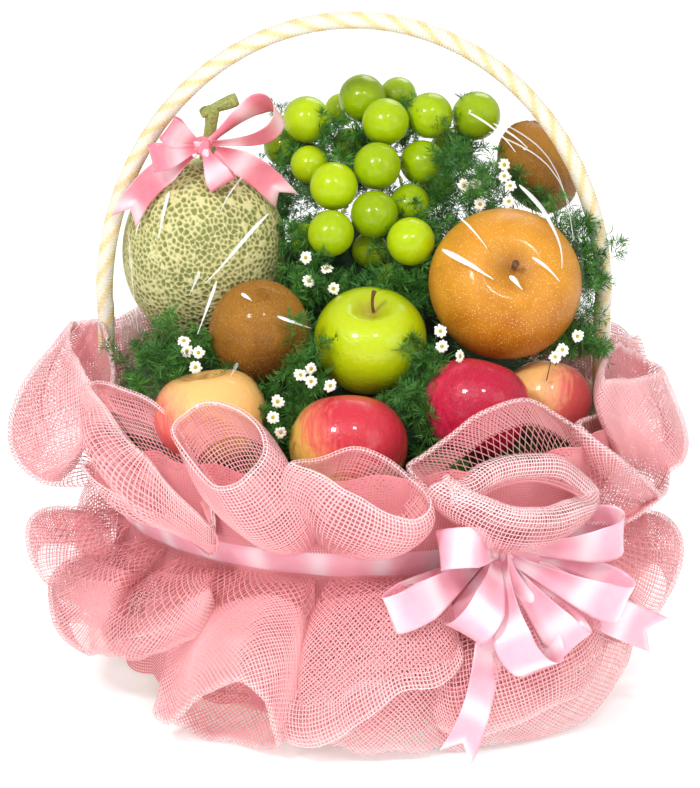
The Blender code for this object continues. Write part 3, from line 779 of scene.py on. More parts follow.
@dataclass(frozen=True)
class Melon:
    """The netted melon: raised cork lines round irregular cells."""

    node: str = "melon"
    across: float = 0.0573
    along: float = 0.0664
    axis: Triple = (0.03, -0.05, 1.0)
    rings: int = 256
    columns: int = 386
    cells: int = 2700
    line: float = 0.0255
    relief: float = 0.0009
    seed: int = 5

    def net(self, directions: Array) -> Array:
        """How far each direction lies on a cork line.

        Seeds lie on a spiral over the sphere with strong random shifts; a line is where the
        distances to the nearest and the second nearest seed are almost equal.

        Args:
            directions: Unit vectors, as (n, 3).

        Returns:
            1 on the lines, 0 inside the cells.
        """
        random = np.random.default_rng(self.seed)
        seeds = spiral(self.cells, 2.0)
        spacing = math.sqrt(2.0 * TAU / self.cells)
        seeds = seeds + random.normal(scale=0.34 * spacing, size=seeds.shape)
        seeds = unit(seeds).astype(np.float32)
        gaps = []
        for part in np.array_split(directions.astype(np.float32), 24):
            closeness = -np.partition(-(part @ seeds.T), 1, axis=1)[:, :2]
            apart = np.arccos(np.clip(closeness, -1.0, 1.0))
            gaps.append(apart[:, 1] - apart[:, 0])
        gap = np.abs(np.concatenate(gaps))
        width = self.line * (1.0 + 0.45 * lumps(directions, 7.0, self.seed + 1))
        return 1.0 - smooth_step(0.35, 1.0, gap / width)

    def build(self) -> None:
        """Makes the rind: a spheroid with relief along the cork lines, smooth round the stem."""
        size = (self.across, self.along, self.axis)
        body = Body(*size, cavity=0.03, basin=0.02, rings=self.rings, columns=self.columns)
        rings, first, last, _ = body.local(self.seed)
        net = self.net(unit(rings.reshape(-1, 3))).reshape(rings.shape[:2])
        scar = smooth_step(0.984, 0.996, unit(rings)[..., 2])
        net = np.maximum(net * (1.0 - scar), 0.5 * scar)
        rings = rings + unit(rings) * (self.relief * (net - 1.0))[..., None]
        shape = Shape.closed(rings, first, last)
        shape.with_value("local", shape.points / self.across)
        shape.with_value("net", np.concatenate((net.ravel(), (0.5, 1.0))))
        shape.points = shape.points @ basis(self.axis) + seat(self.node)[2]
        shape.piece("melon_rind", MelonRind("melon_rind", "melon", 0.62), [self.node])


@dataclass(frozen=True)
class MelonStem:
    """The green stub with its cross-piece of vine, knobbly and cut square."""

    node: str = "melon_stem"
    rise: float = 0.0385
    samples: int = 26
    sides: int = 18

    def build(self) -> None:
        """Two rods with uneven rings: the stalk flares at both ends, the vine thickens to the right."""
        low, _, middle = seat(self.node)
        foot = np.array((low[0] + 0.0148, middle[1] - 0.0004, low[2]))
        head = foot + np.array((0.0035, -0.002, self.rise - 0.003))
        stalk = through((foot, foot * 0.6 + head * 0.4 - (0.001, 0, 0), head), self.samples)
        share = np.linspace(0.0, 1.0, self.samples)
        radii = 0.0036 + 0.0026 * (1.0 - share) ** 3 + 0.0012 * share**2
        vine_left = head + np.array((-0.0085, 0.0, -0.0042))
        vine_right = head + np.array((0.0165, 0.0, 0.0062))
        vine = through((vine_left, head, vine_right), self.samples)
        vine_radii = 0.0031 + 0.0013 * share + 0.0005 * np.sin(9.0 * share)
        shapes = []
        for seed, (path, size) in enumerate(((stalk, radii), (vine, vine_radii))):
            turn = circle(self.sides)
            ridges = 1.0 + 0.09 * np.cos(5.0 * turn + 7.0 * share[:, None] + seed)
            places = path[:, None] + turn[:, None] * 0.002
            ridges = ridges + 0.05 * lumps(places, 900.0, seed)
            shapes.append(rod(path, size[:, None] * ridges, self.sides))
        tones = {"light": "bcc070", "dark": "75803a"}
        finish = Plain("vine_stub", "melon_stem", 0.6, **tones, scale=520.0, relief=0.0006)
        Shape.joined(shapes).piece("melon_vine", finish, [self.node])


@dataclass(frozen=True)
class FruitStem:
    """A dry stem out of a stem cavity."""

    node: str
    length: float
    radius: float
    axis: Triple
    finish: Finish

    def build(self) -> None:
        """A rod along the fruit's axis that bends a little and thickens at the cut."""
        middle = seat(self.node)[2]
        side, front, along = basis(self.axis)
        share = np.linspace(-0.5, 0.5, 14)
        path = middle + self.length * (share[:, None] * along + 0.25 * share[:, None] ** 2 * side)
        path = path - self.length * 0.03 * side
        cut, root = np.clip(share - 0.22, 0.0, 1.0), np.clip(-share - 0.3, 0.0, 1.0)
        radii = self.radius * (0.78 + 1.6 * cut + 0.5 * root)
        rod(path, radii, 12, tuple(front)).piece(self.node + "_wood", self.finish, [self.node])


@dataclass(frozen=True)
class GrapeBunch:
    """All the grapes, each a little longer than wide, with the stalks between them."""

    prefix: str = "grape_"
    count: int = 22
    rings: int = 26
    columns: int = 36
    seed: int = 11

    def build(self) -> None:
        """One ellipsoid in each node's box, with its own tone, and short stalks to the bunch's core."""
        nodes = [f"{self.prefix}{number:02d}" for number in range(1, self.count + 1)]
        seats = [seat(node) for node in nodes]
        middles = np.array([middle for _, _, middle in seats])
        radii = np.array([0.5 * (high - low).max() for low, high, _ in seats])
        random = np.random.default_rng(self.seed)
        core = middles.mean(axis=0) + np.array((0.0, 0.012, 0.0))
        balls = []
        stalks = []
        for middle, radius in zip(middles, radii):
            lean = unit(core - middle + random.normal(scale=0.012, size=3))
            grid = {"rings": self.rings, "columns": self.columns}
            body = Body(0.985 * radius, radius, tuple(lean), unevenness=0.008, **grid)
            rings, first, last, _ = body.local(int(random.integers(99)))
            ball = Shape.closed(rings, first, last)
            height = unit(ball.points)[:, 2]
            ball.with_value("local", ball.points / radius)
            ball.with_value("tone", random.uniform(0.15, 0.75))
            ball.with_value("scar", 0.25 * smooth_step(-0.996, -0.9995, height))
            ball.points = ball.points @ basis(lean) + middle
            balls.append(ball)
            start = middle + lean * radius * 0.97
            route = through((start, start + lean * 0.006 + (0, 0, 0.002), start + lean * 0.013), 6)
            stalks.append(rod(route, np.array((0.0013, 0.0010, 0.0009, 0.0009, 0.0009, 0.0009)), 6))
        Shape.joined(balls).piece("grapes", GrapeSkin("grape_skin", "grape", 0.16), nodes)
        stalk = Plain("grape_stalk", "fern", 0.6, light="9db04c", dark="6d7f30")
        Shape.joined(stalks).piece("grape_stalks", stalk)


@dataclass(frozen=True)
class Kiwi:
    """A kiwi: a brown body under thousands of short hairs."""

    node: str
    across: float
    along: float
    axis: Triple
    hairs: int
    seed: int
    hair_length: float = 0.0011
    hair_width: float = 0.00034

    def build(self) -> None:
        """The body and, standing on it, slim three-cornered hairs that lean at random."""
        body = Body(self.across, self.along, self.axis, basin=0.03, unevenness=0.016, lobes=0.004)
        tones = {"light": "a6701a", "dark": "78480a"}
        dots = {"dots": 0.26, "dot_scale": 40.0, "dot_share": 0.5}
        finish = RussetSkin("kiwi_skin", "kiwi", 0.6, **tones, **dots)
        # Painted shade: the darker brown towards the underside.
        fruit = Fruit(self.node, body, finish, self.seed, toward((0.2, -0.3, -1.0), -0.5, 1.0))
        fruit.build()
        random = np.random.default_rng(self.seed)
        skin = fruit.shape()
        middle = seat(self.node)[2]
        faces = skin.quads[random.integers(len(skin.quads), size=self.hairs)]
        share = random.uniform(size=(2, self.hairs, 1))
        near = skin.points[faces[:, 0]] * (1 - share[0]) + skin.points[faces[:, 1]] * share[0]
        far = skin.points[faces[:, 3]] * (1 - share[0]) + skin.points[faces[:, 2]] * share[0]
        roots = near * (1 - share[1]) + far * share[1]
        lean = unit(unit(roots - middle) + random.normal(scale=0.55, size=roots.shape))
        side = unit(np.cross(lean, random.normal(size=roots.shape))) * self.hair_width * 0.5
        tips = roots + lean * self.hair_length * random.uniform(0.5, 1.2, size=(self.hairs, 1))
        points = np.stack((roots - side, roots + side, tips), axis=1).reshape(-1, 3)
        hairs = Shape(points, np.empty((0, 4), int), np.arange(len(points)).reshape(-1, 3))
        fuzz = Plain("kiwi_fuzz", "kiwi", 0.7, light="c08a34", dark="8c5a18", scale=900.0, relief=0.0)
        hairs.piece(self.node + "_fuzz", fuzz)


# ---- Basket and handle -------------------------------------------


@dataclass(frozen=True)
class Basket:
    """The round tapered basket, woven of flat strands over upright stakes."""

    node: str = "basket"
    base_radius: float = 0.118
    rim_radius: float = 0.184
    height: float = 0.190
    wall: float = 0.004
    stakes: int = 44
    strands: int = 26
    relief: float = 0.0011
    columns: int = 264
    rows: int = 104

    def middle(self) -> Array:
        """The basket's axis at the floor."""
        low, _, middle = seat(self.node)
        return np.array((middle[0], middle[1], low[2]))

    def wall_radius(self, height: float | Array) -> float | Array:
        """Outer radius of the wall at a height."""
        return self.base_radius + (self.rim_radius - self.base_radius) * height / self.height

    def build(self) -> None:
        """Outside wall with weave relief, over the rim, down the inside, and the floor.

        The relief is the sine of the stakes times the sine of the strands, so that each strand
        passes over one stake and under the next.
        """
        turn = circle(self.columns)
        rise = np.linspace(0.0, self.height - 0.010, self.rows)
        over = np.sin(math.pi * self.strands * rise / rise[-1])[:, None]
        weave = np.sin(0.5 * self.stakes * turn)[None] * over
        outside = self.wall_radius(rise)[:, None] - self.relief + self.relief * weave
        bead = 0.5 * self.wall + 0.0022
        bend = np.linspace(-0.35 * math.pi, 1.1 * math.pi, 14)
        rope = 0.0006 * np.sin(60.0 * turn[None] + 2.0 * bend[:, None])
        bead_radius = self.rim_radius - 0.5 * self.wall + (bead + rope) * np.cos(bend)[:, None]
        bead_height = self.height - 0.0052 + (bead + rope) * np.sin(bend)[:, None]
        inside_rise = np.linspace(self.height - 0.010, 0.005, 12)
        inside = (self.wall_radius(inside_rise) - self.wall)[:, None]
        parts = ((outside, rise[:, None]), (bead_radius, bead_height), (inside, inside_rise[:, None]))
        middle = self.middle()
        rings = np.concatenate([turned(radius, turn, height) for radius, height in parts]) + middle
        body = Shape.closed(rings, middle, middle + UP * 0.005)
        tones = {"light": "f0dfc2", "dark": "d6bb92"}
        straw = Plain("woven_straw", "basket", 0.7, **tones, scale=240.0, relief=0.0004)
        body.piece("basket_weave", straw, [self.node])


@dataclass(frozen=True)
class Wrapping(Finish):
    """Ivory strands laid slantwise, every few of them straw-coloured."""

    def dress(self, recipe: Recipe, shader: Node) -> None:
        """The stored stripe picks the strand's colour; grooves between strands get painted shade."""
        mottle = recipe.effect(Effect.MOTTLE, recipe.place(), 500.0, 0.8)
        ivory = recipe.mix(mottle, "ddd5c0", "f3ecdc")
        straw = recipe.mix(mottle, "dfc48a", "efdaa6")
        colour = recipe.mix(recipe.value("stripe"), ivory, straw)
        # Painted shade in the grooves between strands.
        colour = recipe.blotted(colour, recipe.value("groove_shade"), 0.30, "b09a6c")
        recipe.wear(shader, Base_Color=colour, Normal=recipe.bump(mottle, 0.0002))


@dataclass(frozen=True)
class Handle:
    """The tall hoop, wrapped with strands round a thick core."""

    node: str = "handle"
    tube: float = 0.0061
    spring: float = 0.270
    rise: float = 0.1966
    foot: float = 0.060
    play: float = 0.0012
    strand: float = 0.0021
    slant: float = 0.0105
    relief: float = 0.0007
    stripe_every: float = 0.0215
    stripe_width: float = 0.34
    sides: int = 20
    samples: int = 4300

    def path(self, basket: Basket) -> Array:
        """Up the left leg, round the half ellipse and down the right leg, evenly spaced."""
        low, high, _ = seat(self.node)
        middle = basket.middle()
        half_span = 0.5 * (high[0] - low[0]) - self.tube
        heights = np.linspace(self.foot, self.spring, 40)[:-1]
        wall = basket.wall_radius(np.minimum(heights, basket.height)) - basket.wall
        legs = np.minimum(half_span, wall - self.tube - self.play)
        turn = np.linspace(math.pi, 0.0, 400)
        arch = np.stack((half_span * np.cos(turn), self.spring + self.rise * np.sin(turn)), axis=-1)
        left = np.stack((-legs, heights), axis=-1)
        right = np.stack((legs, heights), axis=-1)[::-1]
        route = np.vstack((left, arch, right))
        way = way_along(route)
        even = np.linspace(0.0, way[-1], self.samples)
        x, z = (np.interp(even, way, values) for values in route.T)
        return np.stack((middle[0] + x, np.full_like(x, middle[1]), z), axis=-1)

    def build(self, basket: Basket) -> None:
        """A tube whose radius follows round strands that climb as a steep helix.

        A strand's phase is the way along the hoop, moved by the slant times the cosine of the turn
        about it; the outline is the arch of a cosine over each strand, and whole groups of strands
        are coloured.
        """
        path = self.path(basket)
        step = np.linalg.norm(path[1] - path[0])
        way = (np.arange(self.samples) * step)[:, None]
        climb = way + self.slant * np.cos(circle(self.sides)[None])
        ridge = np.abs(np.cos(math.pi * climb / self.strand))
        radii = self.tube - self.relief + self.relief * np.sqrt(ridge)
        place = climb / self.stripe_every % 1.0
        width = self.stripe_width
        stripe = smooth_step(0.0, 0.05, place) * (1.0 - smooth_step(width, width + 0.05, place))
        rings = rings_about(path, radii, self.sides, np.array((0.0, 1.0, 0.0)))
        shape = Shape.closed(rings, path[0], path[-1])
        shape.with_value("stripe", np.concatenate((stripe.ravel(), (0.0, 0.0))))
        shape.with_value("groove_shade", np.concatenate(((1.0 - ridge).ravel() ** 3, (0.0, 0.0))))
        shape.piece("handle_wrap", Wrapping("wrapping", "handle", 0.45), [self.node])


# ---- Net ---------------------------------------------------------


class Weave(Enum):
    """How the threads of a net lie on its surface."""

    STRAIGHT = "straight"
    BIAS = "bias"


class Side(Enum):
    """Whether a ruffle opens upwards, above the waist ribbon, or downwards, below it."""

    COLLAR = 1.0
    SKIRT = -1.0


# Radius and height at which the cloth is gathered under the waist ribbon.
PETAL_ROOTS = {Side.COLLAR: (0.1700, 0.146), Side.SKIRT: (0.1630, 0.122)}
LINING_ROOTS = {Side.COLLAR: (0.1750, 0.142), Side.SKIRT: (0.1640, 0.127)}


@dataclass(frozen=True)
class Thread:
    """The net's thread and mesh."""

    width: float = 0.00064
    pitch: float = 0.0026
    lift: float = 0.00015
    step: float = 0.0050


BUNCHED = Thread(width=0.0013, pitch=0.0021)


@dataclass(frozen=True)
class NetSurface:
    """A sampled surface that threads are laid on; its last column meets its first."""

    points: Array
    # How lit each point is painted: low for painted shade, high for a painted highlight.
    painted_light: Array

    def at(self, row: Array, column: Array) -> tuple[Array, Array]:
        """Points and painted light values between the samples, by linear mixing of the four nearest.

        Args:
            row: Row coordinates from 0 to rows - 1.
            column: Column coordinates, which wrap.

        Returns:
            The points and the painted light values.
        """
        rows, columns = self.points.shape[:2]
        row = np.clip(row, 0.0, rows - 1.000001)
        column = column % columns
        low_row, low_column = row.astype(int), column.astype(int)
        up = (row - low_row)[..., None]
        over = (column - low_column)[..., None]
        next_column = (low_column + 1) % columns
        values = np.concatenate((self.points, self.painted_light[..., None]), axis=-1)
        near = values[low_row, low_column] * (1 - over) + values[low_row, next_column] * over
        far = values[low_row + 1, low_column] * (1 - over) + values[low_row + 1, next_column] * over
        mixed = near * (1 - up) + far * up
        return mixed[..., :3], mixed[..., 3]

    def girth(self, row: int) -> float:
        """The length of a row, from its first column to its last."""
        return float(way_along(self.points[row])[-1])

    def row_ways(self) -> Array:
        """How far each row is from the first along the cloth, as a mean over the columns."""
        steps = np.linalg.norm(np.diff(self.points, axis=0), axis=-1).mean(axis=1)
        return np.concatenate(([0.0], np.cumsum(steps)))


def ribbons(surface: NetSurface, routes: Array, thread: Thread, lift: float) -> Shape:
    """Flat threads that follow routes over a surface.

    Args:
        surface: The surface.
        routes: Row and column coordinates of each thread's points, as (threads, samples, 2).
        thread: The thread.
        lift: How far the threads lie off the surface.

    Returns:
        The threads as strips, with their edge values.
    """
    rows, columns = routes[..., 0], routes[..., 1]
    middle, painted_light = surface.at(rows, columns)
    ahead = surface.at(rows + 0.35, columns)[0] - surface.at(rows - 0.35, columns)[0]
    over = surface.at(rows, columns + 0.35)[0] - surface.at(rows, columns - 0.35)[0]
    normal = unit(np.cross(over, ahead))
    along = unit(np.gradient(middle, axis=1))
    across = np.cross(normal, along) * (0.5 * thread.width)
    middle = middle + normal * lift
    strip = np.stack((middle - across, middle + across), axis=2)
    count, samples = strip.shape[:2]
    index = np.arange(count * samples * 2).reshape(count, samples, 2)
    corners = (index[:, :-1, 0], index[:, 1:, 0], index[:, 1:, 1], index[:, :-1, 1])
    shape = Shape(strip.reshape(-1, 3), np.stack(corners, axis=-1).reshape(-1, 4))
    return shape.with_value("painted_light", np.repeat(painted_light.ravel(), 2))


def lattice(surface: NetSurface, warp: Array, weft: Array, thread: Thread) -> Shape:
    """Both sets of threads on a surface, the second lifted off the first."""
    sets = ((warp, 0.0), (weft, thread.lift))
    return Shape.joined([ribbons(surface, routes, thread, lift) for routes, lift in sets])


def hoops(levels: Array, columns: int, samples: int) -> Array:
    """Routes right round a surface at the given rows."""
    turns = np.linspace(0.0, columns, samples)
    return np.stack(np.broadcast_arrays(levels[:, None], turns), axis=-1)


def ring_through(points: Array, count: int) -> Array:
    """A smooth closed route through points, sampled evenly along its length.

    Args:
        points: The points, as (n, 3).
        count: How many samples to return.

    Returns:
        The samples, as (count, 3), starting at the first point.
    """
    padded = np.vstack((points[-2:], points, points[:3]))
    fine = through(padded, 16 * (len(padded) - 1) + 1)[32 : -32 + 1]
    way = way_along(fine)
    places = np.linspace(0.0, way[-1], count, endpoint=False)
    return np.stack([np.interp(places, way, fine[:, k]) for k in range(3)], axis=-1)


def oval(
    azimuth: float, height: float, long: float, short: float, pitch: float, radius: float = 0.196
) -> tuple[Triple, ...]:
    """The mouth of a plain petal: an ellipse, as rim points for a Petal.

    Args:
        azimuth: The direction of its middle from the basket's axis, in degrees.
        height: The height of its middle.
        long: Half its length, along the wall.
        short: Half its width.
        pitch: How far the mouth leans outwards from level, in degrees.
        radius: The distance of its middle from the axis.

    Returns:
        Azimuth in degrees, radius and height in millimetres of eight points.
    """
    turn = np.arange(8) * 0.25 * math.pi
    ahead = radius - short * math.cos(math.radians(pitch)) * np.sin(turn)
    aside = long * np.cos(turn)
    heights = height + short * math.sin(math.radians(pitch)) * np.sin(turn)
    degrees = azimuth + np.degrees(np.arctan2(aside, ahead))
    return tuple(zip(degrees, np.hypot(ahead, aside) / MM, heights / MM))


@dataclass(frozen=True)
class Petal:
    """One fold of doubled net that swells from its pinched root at the waist to an open mouth.

    The rim holds azimuth in degrees, and radius and height in millimetres, of points round the
    mouth. The root is the azimuth where the fold is gathered. Bloom is how far the wall sets off
    outwards, swell how far it comes back in to the rim, push how squarely it meets the mouth and
    drape how far its near side sinks over the ribbon, each as a share of the fold's own reach or
    size.
    """

    rim: tuple[Triple, ...]
    root: float
    root_half: float = 0.014
    bloom: float = 0.60
    swell: float = 0.35
    push: float = 0.40
    drape: float = 0.15
    roll: float = 0.0016
    weave: Weave = Weave.STRAIGHT
    fold_back: float = 0.36

    def surface(self, side: Side, middle: Array, seed: int) -> NetSurface:
        """The fold, from its pinched root to the rim, over a small roll and back inside.

        Each line of the wall is a cubic Bezier curve from a small copy of the mouth at the root
        to the rim. Its first handle points outwards, its last away from the mouth's middle.

        Args:
            side: Collar or skirt.
            middle: The basket's axis at the floor.
            seed: Seed of the unevenness.

        Returns:
            The surface as rows of rings.
        """
        up = side.value * UP
        knots = [MM * (wheel(azimuth)[0] * radius + UP * height) for azimuth, radius, height in self.rim]
        rim = ring_through(np.array(knots), 112) + middle
        centre = rim.mean(axis=0)
        out, tangent = wheel(self.root)
        root_radius, root_height = PETAL_ROOTS[side]
        foot = middle + out * root_radius + UP * root_height
        facing = np.linalg.svd(rim - centre)[2][2]
        facing = facing * np.sign(facing @ (up + 0.6 * unit((centre - middle) * (1.0, 1.0, 0.0))))
        near = out - 0.5 * up
        near = unit(near - facing * (near @ facing))
        away = rim - centre
        aside = away @ tangent / np.abs(away @ tangent).max()
        outer = away @ near / np.abs(away @ near).max()
        start = foot + aside[:, None] * self.root_half * tangent + 0.0022 * outer[:, None] * out
        reach = float(np.linalg.norm(centre - foot))
        size = float(np.linalg.norm(away, axis=1).mean())
        first = reach * (
            self.bloom * (0.8 + 0.3 * outer)[:, None] * out
            + (0.22 - 0.22 * outer - self.drape * np.maximum(outer, 0.0))[:, None] * up
            + 0.25 * aside[:, None] * tangent
        )
        homeward = np.clip(unit(away) @ unit(foot - centre), 0.0, 1.0)
        puff = (0.3 + 0.7 * smooth_step(-0.2, 0.5, outer)) * (1.0 - 0.8 * homeward)
        last = self.swell * size * puff[:, None] * unit(away) - self.push * reach * facing
        shares = np.linspace(0.0, 1.0, 30)
        wall = bezier((start, start + first, rim + last, rim), shares[:, None] * np.ones(len(rim)))
        phase = np.linspace(0.0, TAU, len(rim), endpoint=False)
        wave = 0.0012 * np.sin(4.0 * phase + 2.0 * seed) + 0.0008 * np.sin(7.0 * phase + seed)
        wall = wall + (smooth_step(0.3, 1.0, shares)[:, None] * wave)[..., None] * facing
        down = np.gradient(wall, axis=0)
        over = np.roll(wall, -1, axis=1) - np.roll(wall, 1, axis=1)
        normal = unit(np.cross(over, down))
        inwards = wall.mean(axis=1, keepdims=True) - wall
        normal = normal * np.sign((normal[-6:] * inwards[-6:]).sum())
        bend = np.linspace(0.0, math.pi, 6)[1:, None, None]
        lip = wall[-1] + self.roll * (np.sin(bend) * unit(down[-1]) + (1.0 - np.cos(bend)) * normal[-1])
        inner = (wall + 2.0 * self.roll * normal)[::-1][1 : 1 + int(self.fold_back * len(wall))]
        points = np.concatenate((wall, lip, inner))
        points[..., 2] = np.maximum(points[..., 2], middle[2] + 0.0014)
        # Painted light: painted shade at the root and on the inner layer, paler towards the rim, a
        # painted highlight on the lip.
        painted_light = np.concatenate((0.10 + 0.50 * shares[1:], np.full(6, 0.85), np.full(len(inner), 0.30)))
        return self.even(NetSurface(points, np.repeat(painted_light[:, None], len(rim), axis=1)))

    @staticmethod
    def even(surface: NetSurface) -> NetSurface:
        """The same surface with rows evenly spaced along the mean length of its columns."""
        way = surface.row_ways()
        rows = int(way[-1] / 0.003) + 2
        places = np.interp(np.linspace(0.0, way[-1], rows), way, np.arange(len(way)))
        columns = np.arange(surface.points.shape[1], dtype=float)
        return NetSurface(*surface.at(*np.meshgrid(places, columns, indexing="ij")))

    def threads(self, side: Side, middle: Array, thread: Thread, seed: int) -> tuple[Shape, float, float]:
        """The petal's threads, with its mouth's girth and its length along the cloth.

        Args:
            side: Collar or skirt.
            middle: The basket's axis at the floor.
            thread: The thread.
            seed: Seed of the petal's unevenness.

        Returns:
            The threads, the girth and the length.
        """
        surface = self.surface(side, middle, seed)
        rows, columns = surface.points.shape[:2]
        girth = surface.girth(int(0.7 * rows))
        length = float(surface.row_ways()[-1])
        gaps = np.roll(surface.points, -1, axis=1) - surface.points
        around = np.linalg.norm(gaps, axis=-1).sum(axis=1)
        lines = max(8, int(around.max() / thread.pitch))
        rings = max(4, int(length / thread.pitch))
        down = int(length / thread.step) + 2
        over = int(girth / thread.step) + 2
        random = np.random.default_rng(seed)
        straight = self.weave is Weave.STRAIGHT
        count = lines if straight else int(lines / math.sqrt(2.0) * 1.05)
        order = np.arange(count)
        need = np.where(order % 4 == 0, 0.0, np.where(order % 2 == 0, 0.48, 0.80))
        first = np.argmax(around >= need[:, None] * around.max(), axis=1)[:, None]
        reach = np.linspace(0.0, 1.0, down if straight else int(1.4 * down))
        route_rows = first + (rows - 1.0 - first) * reach
        starts = ((order + random.uniform(-0.12, 0.12, count)) / count * columns)[:, None]
        if straight:
            sway = 0.3 * np.sin(route_rows / rows * 5.0 + seed)
            warp = np.stack((route_rows, starts + sway), axis=-1)
            levels = (np.arange(rings) + 0.5 + random.uniform(-0.1, 0.1, rings)) / rings * (rows - 1.0)
            weft = hoops(levels, columns, over)
        else:
            lean = columns * length / girth * route_rows / (rows - 1.0)
            warp = np.stack((route_rows, starts + lean), axis=-1)
            weft = np.stack((route_rows, starts - lean), axis=-1)
        return lattice(surface, warp, weft, thread), girth, length


@dataclass(frozen=True)
class Lining:
    """The gathered net between the petals and the wall, in irregular folds."""

    side: Side
    reach: float
    rise: float
    folds: int
    seed: int

    def threads(self, middle: Array, thread: Thread) -> tuple[Shape, float, float]:
        """A wavy ring of net from the waist out to its own hem.

        The reach swings with a sine of the turn whose phase drifts, more towards the hem.

        Args:
            middle: The basket's axis at the floor.
            thread: The thread.

        Returns:
            The threads, the girth at the hem and the length.
        """
        up = self.side.value
        rows, columns = 30, 720
        turn = circle(columns)[None]
        share = np.linspace(0.0, 1.0, rows)[:, None]
        drift = 0.8 * np.sin(3.0 * turn + self.seed) + 0.5 * np.sin(5.0 * turn)
        fold = np.sin(self.folds * turn + drift)
        base, start = LINING_ROOTS[self.side]
        spread = np.sin(0.5 * math.pi * share) ** 0.8
        radius = base + (self.reach - base) * spread + 0.0030 * fold * share
        sway = np.cos(self.folds * turn + drift)
        height = start + up * self.rise * share + 0.002 * sway * share
        points = turned(radius, turn, height) + middle
        # Zero everywhere: the whole lining takes the darkest pink, as painted shade.
        surface = NetSurface(points, np.zeros(points.shape[:2]))
        girth = surface.girth(-1)
        length = float(surface.row_ways()[-1])
        lines = int(girth / thread.pitch)
        rings = int(length / thread.pitch)
        last = rows - 1.0
        ways = np.linspace(0.0, last, int(length / thread.step) + 2)
        starts = (np.arange(lines) / lines * columns)[:, None]
        warp = np.stack(np.broadcast_arrays(ways, starts), axis=-1)
        weft = hoops((np.arange(rings) + 1.0) / rings * last, columns, int(girth / thread.step))
        return lattice(surface, warp, weft, thread), girth, length


@dataclass(frozen=True)
class Ruffle:
    """All the petals above or below the waist ribbon, and the lining behind them."""

    name: str
    node: str
    side: Side
    front: tuple[Petal, ...]
    back: tuple[Petal, ...]
    lining: Lining
    thread: Thread = Thread()

    def build(self, basket: Basket) -> None:
        """Makes the front, back and lining pieces."""
        finish = NetThread("net_thread", "net", 0.75)
        middle = basket.middle()
        for part, petals in (("front", self.front), ("back", self.back)):
            laid = [p.threads(self.side, middle, self.thread, seed) for seed, p in enumerate(petals)]
            self.declare(part, laid, finish)
        self.declare("lining", [self.lining.threads(middle, BUNCHED)], finish)

    def declare(self, part: str, laid: list[tuple], finish: Finish) -> None:
        """Makes one piece from its shapes; the girths and lengths that come with them are not used.

        Args:
            part: The last word of the piece's name.
            laid: Its threads with girth and length.
            finish: The thread's finish.
        """
        shape = Shape.joined([threads for threads, _, _ in laid])
        replaces = [self.node] if part == "front" else []
        piece = shape.piece(f"{self.name}_{part}", finish, replaces)


# ---- Ribbons -----------------------------------------------------


@dataclass(frozen=True)
class Axes:
    """Right, up and outwards for something that faces out at an azimuth in degrees."""

    azimuth: float

    def vectors(self) -> tuple[Array, Array, Array]:
        """The three unit vectors."""
        out, tangent = wheel(self.azimuth)
        return tangent, UP, out

    def toward(self, turn: float, lean: float) -> Array:
        """A direction turned in the tangent plane and leaned outwards, both in degrees."""
        right, up, out = self.vectors()
        turn, lean = math.radians(turn), math.radians(lean)
        flat = math.cos(turn) * right + math.sin(turn) * up
        return math.cos(lean) * flat + math.sin(lean) * out


def strip(
    middle: Array, across: Array, widths: Array, cup: Array | float, notch: float = 0.0
) -> Shape:
    """A ribbon: columns over its width round a middle line, cupped by a share of the width.

    Args:
        middle: The middle line, as (n, 3).
        across: Unit vectors over the width, as (n, 3).
        widths: The width at each point.
        cup: Depth of the cross-section's arch as a share of the width.
        notch: How far the far end is cut back at its middle.

    Returns:
        The ribbon with its two-part coordinate, along and across, in metres.
    """
    columns = np.linspace(-0.5, 0.5, 13)
    along = unit(np.gradient(middle, axis=0))
    normal = np.cross(across, along)
    arch = (np.broadcast_to(cup, middle.shape[:1]) * widths)[:, None] * (0.25 - columns**2)[None] * 4.0
    points = middle[:, None] + widths[:, None, None] * columns[:, None] * across[:, None]
    points = points + arch[..., None] * normal[:, None]
    way = way_along(middle)
    if notch:
        back = notch * (1.0 - 2.0 * np.abs(columns))
        share = smooth_step(way[-1] - 2.2 * notch, way[-1], way)
        points = points - (share[:, None] * back)[..., None] * along[:, None]
    shape = Shape.grid(points)
    lie = np.stack(np.broadcast_arrays(way[:, None], columns * widths.max(), 0.0), axis=-1)
    return shape.with_value("lie", lie.reshape(-1, 3))


def thicken(piece: bpy.types.Object, thickness: float) -> None:
    """Gives a sheet its real thickness, half to each side."""
    wall = piece.modifiers.new("thickness", "SOLIDIFY")
    wall.thickness = thickness
    wall.offset = 0.0


